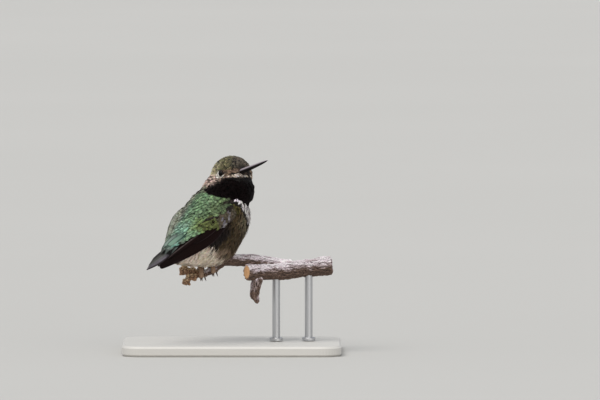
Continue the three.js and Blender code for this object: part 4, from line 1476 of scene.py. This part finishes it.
# %% Lids
LID_THICKNESS = 0.13


def lid(name, side):
    """A thin fold of skin, its small round section spun round the eye's axis."""
    centre, out = eye_axis(side)
    across = out.cross(Vector(HEAD.rows[2])).normalized()
    height = math.sqrt(EYE_RADIUS ** 2 - LID_OPENING ** 2)
    start = centre + (out * height + across * LID_OPENING) * MM
    facing = out.cross(across).to_track_quat("Z", "Y").to_euler()
    bpy.ops.object.select_all(action="DESELECT")
    bpy.ops.mesh.primitive_circle_add(vertices=8, radius=LID_THICKNESS * MM, location=start, rotation=facing)
    bpy.ops.object.transform_apply(location=True, rotation=True, scale=True)
    piece = bpy.context.object
    in_edit(piece,
            (bpy.ops.mesh.spin, {"steps": 36, "angle": 2 * math.pi, "center": centre, "axis": out}),
            (bpy.ops.mesh.select_all, {"action": "SELECT"}),
            (bpy.ops.mesh.remove_doubles, {"threshold": 0.02 * MM}),
            (bpy.ops.mesh.normals_make_consistent, {"inside": False}))
    piece.name = piece.data.name = name
    modified(piece, "SUBSURF", levels=1, render_levels=1)
    place = HEAD.local(numbers(piece.data.vertices, "co", 3).astype(float) / MM)
    point_values(piece.data, "pale", ease(EYE[0] - 0.1, EYE[0] - 0.5, place[:, 0]))
    bpy.ops.object.shade_smooth()
    piece.data.materials.append(lid_skin.material)
    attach(piece, "root")
    return piece


for side, label in ((1, "right"), (-1, "left")):
    ball = eyeball("eyeball_" + label, side, "eye_" + label)
    rim = lid("lid_" + label, side)
    print(ball.name, rim.name, len(rim.data.polygons), "faces in the lid")

# %% [markdown]
# ## Perch
# The perch is a short cut length of dead juniper: a thin bough with old bud knobs at its tip, a
# thicker limb with a fresh cut face, and a broken twig. Copies of the solids are remeshed finely
# and their surface is pushed in and out into long ridges and pits of bark, by a noise that is
# stretched along the wood. The bark is pale grey above and brown below: partly its weathering, and
# partly painted sky light on top and painted shade underneath. It is darker in its cracks, and its
# hollows are painted darker and its bumps lighter, as painted shade and light.

# %% The bark's finish
CUT_FACE = np.array((5.7, -4.2, 31.0))
CUT_FACING = unit(np.array((-6.3, -3.0, 0.2)))
bark = Finish("bark", Specular_IOR_Level=0.3)
bark_tint = bark.add("Attribute", {"attribute_name": "weather"})
bark_long = bark.noise(420.0, 5.0, 0.6, bark.place((0.3, 1, 1)))
bark_fine = bark.noise(1500.0, 4.0, 0.6)
bark_rise = bark_long * 0.6 + bark_fine * 0.4
# Painted shade in the low parts of the bump and painted light on its high parts.
bark_shade = bark.blend(bark_rise, (0.55, 0.5, 0.48), (1.3, 1.28, 1.28))
bark.give(Base_Color=bark.blend(1.0, bark_tint, bark_shade, "MULTIPLY"),
          Roughness=0.78 + bark_fine * 0.15,
          Normal=bark.bump(bark_rise, 0.16 * MM, 0.7))
BARK_LOW, KNOB_LOW = (0.1, 0.066, 0.05), (0.2, 0.12, 0.07)
BARK_TOP, KNOB_TOP = (0.66, 0.59, 0.64), (0.42, 0.32, 0.2)
BARK_CRACK = (0.06, 0.035, 0.03)
CUT_WOOD, CUT_GRAIN = np.array((0.8, 0.44, 0.2)), np.array((0.1, 0.12, 0.1))
print("bark finish ready")

# %% Bark relief and its weathering


def hollows(mesh, spots, normals):
    """How deep each point lies below the mean of its neighbours."""
    ends = numbers(mesh.edges, "vertices", 2).astype(int)
    around, many = np.zeros_like(spots), np.zeros(len(spots))
    for here, there in ((0, 1), (1, 0)):
        np.add.at(around, ends[:, here], spots[ends[:, there]])
        np.add.at(many, ends[:, here], 1)
    return ((around / many[:, None] - spots) * normals).sum(1)


def cut_wood(spots, ridge):
    """Rings of pale wood, darker at the bark."""
    rings = np.linalg.norm(spots - CUT_FACE, axis=1)
    grain = 0.5 + 0.5 * np.sin(rings * 9 + ridge * 3)
    return (CUT_WOOD + grain[:, None] * CUT_GRAIN) * (1 - 0.45 * ease(2.1, 2.6, rings)[:, None])


def bark_piece(name, node, voxel, relief, stretch, swell, fresh=False):
    """A copy of a solid, remeshed and given bark; a fresh cut face stays flat and pale."""
    piece = node_copy(node, name)
    modified(piece, "REMESH", mode="VOXEL", voxel_size=voxel * MM)
    in_edit(piece, (bpy.ops.mesh.vertices_smooth, {"factor": 0.5, "repeat": 3}))
    mesh = piece.data
    spots = numbers(mesh.vertices, "co", 3).astype(float) / MM
    normals = numbers(mesh.vertices, "normal", 3).astype(float)
    facing = ease(0.7, 0.9, normals @ CUT_FACING) * ease(2.0, 1.0, np.abs((spots - CUT_FACE) @ CUT_FACING))
    cut = facing * fresh
    knob = ease(-9, -13, spots[:, :1])
    scale = mixed(stretch, 0.9, knob)
    ridge = np.array([noise.fractal(Vector(s), 0.7, 2.1, 4) for s in spots * scale])
    crack = np.array([noise.turbulence(Vector(s), 3, False) for s in spots * scale * 1.8 + 7])
    rough = relief * (1 + 1.3 * knob[:, 0])
    high = rough * (ridge * 1.2 - (1.4 + knob[:, 0]) * ease(0.4, 0.8, crack)) * (1 - cut)
    swell = swell * ease(-5, 0, spots[:, 0])
    spots = spots + normals * (high + (relief * 0.9 + swell) * (1 - cut))[:, None]
    mesh.vertices.foreach_set("co", (spots * MM).ravel().astype(np.float32))
    # Upward-facing bark is paler, partly weathering and partly painted sky light; the underside stays brown
    # as painted shade.
    sky = ease(-0.1, 0.8, normals[:, 2] + 0.35 * ridge)[:, None]
    patch = np.array([noise.noise(Vector(s * stretch * 0.6 + 3)) for s in spots])
    sky = sky * (1 - 0.6 * ease(0.05, 0.35, patch)[:, None])
    tint = mixed(mixed(BARK_LOW, KNOB_LOW, knob), mixed(BARK_TOP, KNOB_TOP, knob), sky)
    tint = mixed(tint, BARK_CRACK, ease(0.3, 0.6, crack)[:, None] * 0.8)
    # Hollows are painted darker and bumps lighter: painted shade and light.
    hollow_shading = np.clip(hollows(mesh, spots, normals) / voxel, -0.3, 0.25)[:, None]
    tint = np.clip(tint * (1 - 3.5 * hollow_shading), 0.01, 0.9)
    tint = mixed(tint, cut_wood(spots, ridge), cut[:, None])
    point_values(mesh, "weather", np.concatenate([tint, cut[:, None]], 1))
    only(piece)
    bpy.ops.object.shade_smooth()
    mesh.materials.append(bark.material)
    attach(piece, "root")
    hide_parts(node)
    print(name, len(mesh.polygons), "faces")
    return piece


ALONG_X = np.array((0.28, 1.0, 1.0))
bark_piece("bark_bough", "perch_bough", 0.2, 0.3, ALONG_X * 1.2, 0.65)
bark_piece("bark_limb", "perch_limb", 0.25, 0.36, ALONG_X, 0.1, fresh=True)
bark_piece("bark_twig", "perch_twig", 0.2, 0.32, np.array((1.2, 1.2, 0.35)), 0.35)

# %% [markdown]
# ## Feet
# A hummingbird's feet are tiny: three toes over the bough and one behind it, each ending in a thin
# hooked claw. A toe is drawn out along an arc round the bough, with a slight swelling for each of
# its scales, and a claw is drawn out the same way to a point.

# %% Toes, claws and shanks
BOUGH_ROUTE = ((24, 2.4, 31.8), (13, 4.6, 33.9), (3, 4.6, 35.2), (-3.6, 3.2, 34.5), (-7.5, 1.8, 31.4),
               (-12, 0.4, 29.7), (-16, -0.6, 29.2), (-17.6, -0.8, 27.6))
LEG_PLACES = {"right": -7.6, "left": -12.1}
TOE_WRAP = 2.7
TOE_TURN = 7.4 / TOE_WRAP
SHANK_TOP = 1.9

foot_skin = Finish("foot_skin", Specular_IOR_Level=0.45)
foot_grain = foot_skin.noise(900.0, 4.0)
foot_tint = foot_skin.add("Attribute", {"attribute_name": "scale_tone"}, out=2)
foot_base = foot_skin.blend(foot_tint, (0.05, 0.03, 0.022), (0.42, 0.27, 0.17))
foot_skin.give(Base_Color=foot_skin.blend(foot_grain * 0.6, foot_base, (0.12, 0.075, 0.05)),
               Roughness=0.5 + foot_grain * 0.2, Normal=foot_skin.bump(foot_grain, 0.05 * MM))


def scales(t):
    """Each scale swells a little towards its far end."""
    return 0.14 * ((t * 7) % 1) - 0.06


def foot_part(name, tone, *route, **more):
    """A toe, a claw or a shank, in one tone."""
    piece = drawn_out(name, route_rings(*route, **more), foot_skin, None)
    point_values(piece.data, "scale_tone", np.full(len(piece.data.vertices), tone))
    return piece


def foot(label, x):
    """Three toes over the bough and one behind, with their claws, and the shank above them."""
    bough = through(BOUGH_ROUTE, np.linspace(0, 1, 400))
    centre = bough[np.abs(bough[:, 0] - x).argmin()]
    angle = np.linspace(0.0, TOE_TURN, 24)
    parts = []
    for sense, spread_deg in ((1, -17), (1, 0), (1, 17), (-1, 5)):
        arc = np.stack([centre[0] + math.sin(math.radians(spread_deg)) * angle * TOE_WRAP,
                        centre[1] + sense * np.sin(angle) * TOE_WRAP,
                        centre[2] + np.cos(angle) * TOE_WRAP], 1)
        parts.append(foot_part("toe", 0.7, arc[:17], (1.0, 0.98, 0.95, 0.95, 0.85), 10, 28, scales))
        parts.append(foot_part("claw", 0.05, arc[15:], (0.5, 0.42, 0.28, 0.06), 8, 9, flat=0.7))
    top = centre + (0, 0, TOE_WRAP)
    shank_route = (top - (0, 0, 0.3), top + (0, 0.1, 0.8), top + (0, 0.2, SHANK_TOP))
    parts.append(foot_part("shank", 0.8, shank_route, (0.62, 0.55, 0.72), 12, 12, scales))
    piece = joined(parts, "foot_" + label)
    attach(piece, "root")
    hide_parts("leg_" + label)
    return piece


for label, x in LEG_PLACES.items():
    print(foot(label, x).name, "at", x)

# %% [markdown]
# ## Display stand
# The stand isn't part of the bird or its branch: a flat painted base and two steel rods. The
# base's solid already has the right shape, so it only gets its paint; the rods get a small
# flange where they enter the base.

# %% The stand
base_paint = Finish("base_paint", Specular_IOR_Level=0.4)
base_grain = base_paint.noise(60.0, 4.0, at=base_paint.place((0.15, 1, 1)))
base_paint.give(Base_Color=base_paint.blend(base_grain, (0.58, 0.56, 0.52), (0.66, 0.64, 0.6)),
                Roughness=0.38 + base_grain * 0.15, Normal=base_paint.bump(base_grain, 0.05 * MM))
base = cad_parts["stand_base"]
base.data.materials.clear()
base.data.materials.append(base_paint.material)

rod_steel = Finish("rod_steel", Metallic=1.0)
rod_grain = rod_steel.noise(300.0, 3.0, at=rod_steel.place((1, 1, 0.05)))
rod_steel.give(Base_Color=rod_steel.blend(rod_grain, (0.5, 0.5, 0.5), (0.62, 0.62, 0.63)),
               Roughness=0.28 + rod_grain * 0.2)
ROD_RADIUS = 1.5
FLANGE_RADIUS, FLANGE_HEIGHT, BEVEL = 2.6, 0.9, 0.3


def rod(node):
    """A steel rod with its flange, over the solid's own place and length."""
    low, high = (np.array(corner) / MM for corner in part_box(node))
    x, y = (low[:2] + high[:2]) / 2
    foot, top = low[2], high[2]
    brim = foot + FLANGE_HEIGHT
    heights = (foot, foot, brim, brim + BEVEL, brim + BEVEL, (foot + top) / 2, top)
    sizes = (0.6, FLANGE_RADIUS, FLANGE_RADIUS, FLANGE_RADIUS - BEVEL, ROD_RADIUS, ROD_RADIUS, ROD_RADIUS)
    angle = np.linspace(0, 2 * np.pi, 32, endpoint=False)
    rings = [np.stack([x + size * np.cos(angle), y + size * np.sin(angle), np.full(32, height)], 1)
             for height, size in zip(heights, sizes)]
    piece = drawn_out("steel_" + node, rings, rod_steel, "stand_rod", levels=0)
    bpy.ops.object.shade_smooth_by_angle(angle=math.radians(35))
    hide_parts(node)
    return piece


for node in ("stand_rod_1", "stand_rod_2"):
    print(rod(node).name)
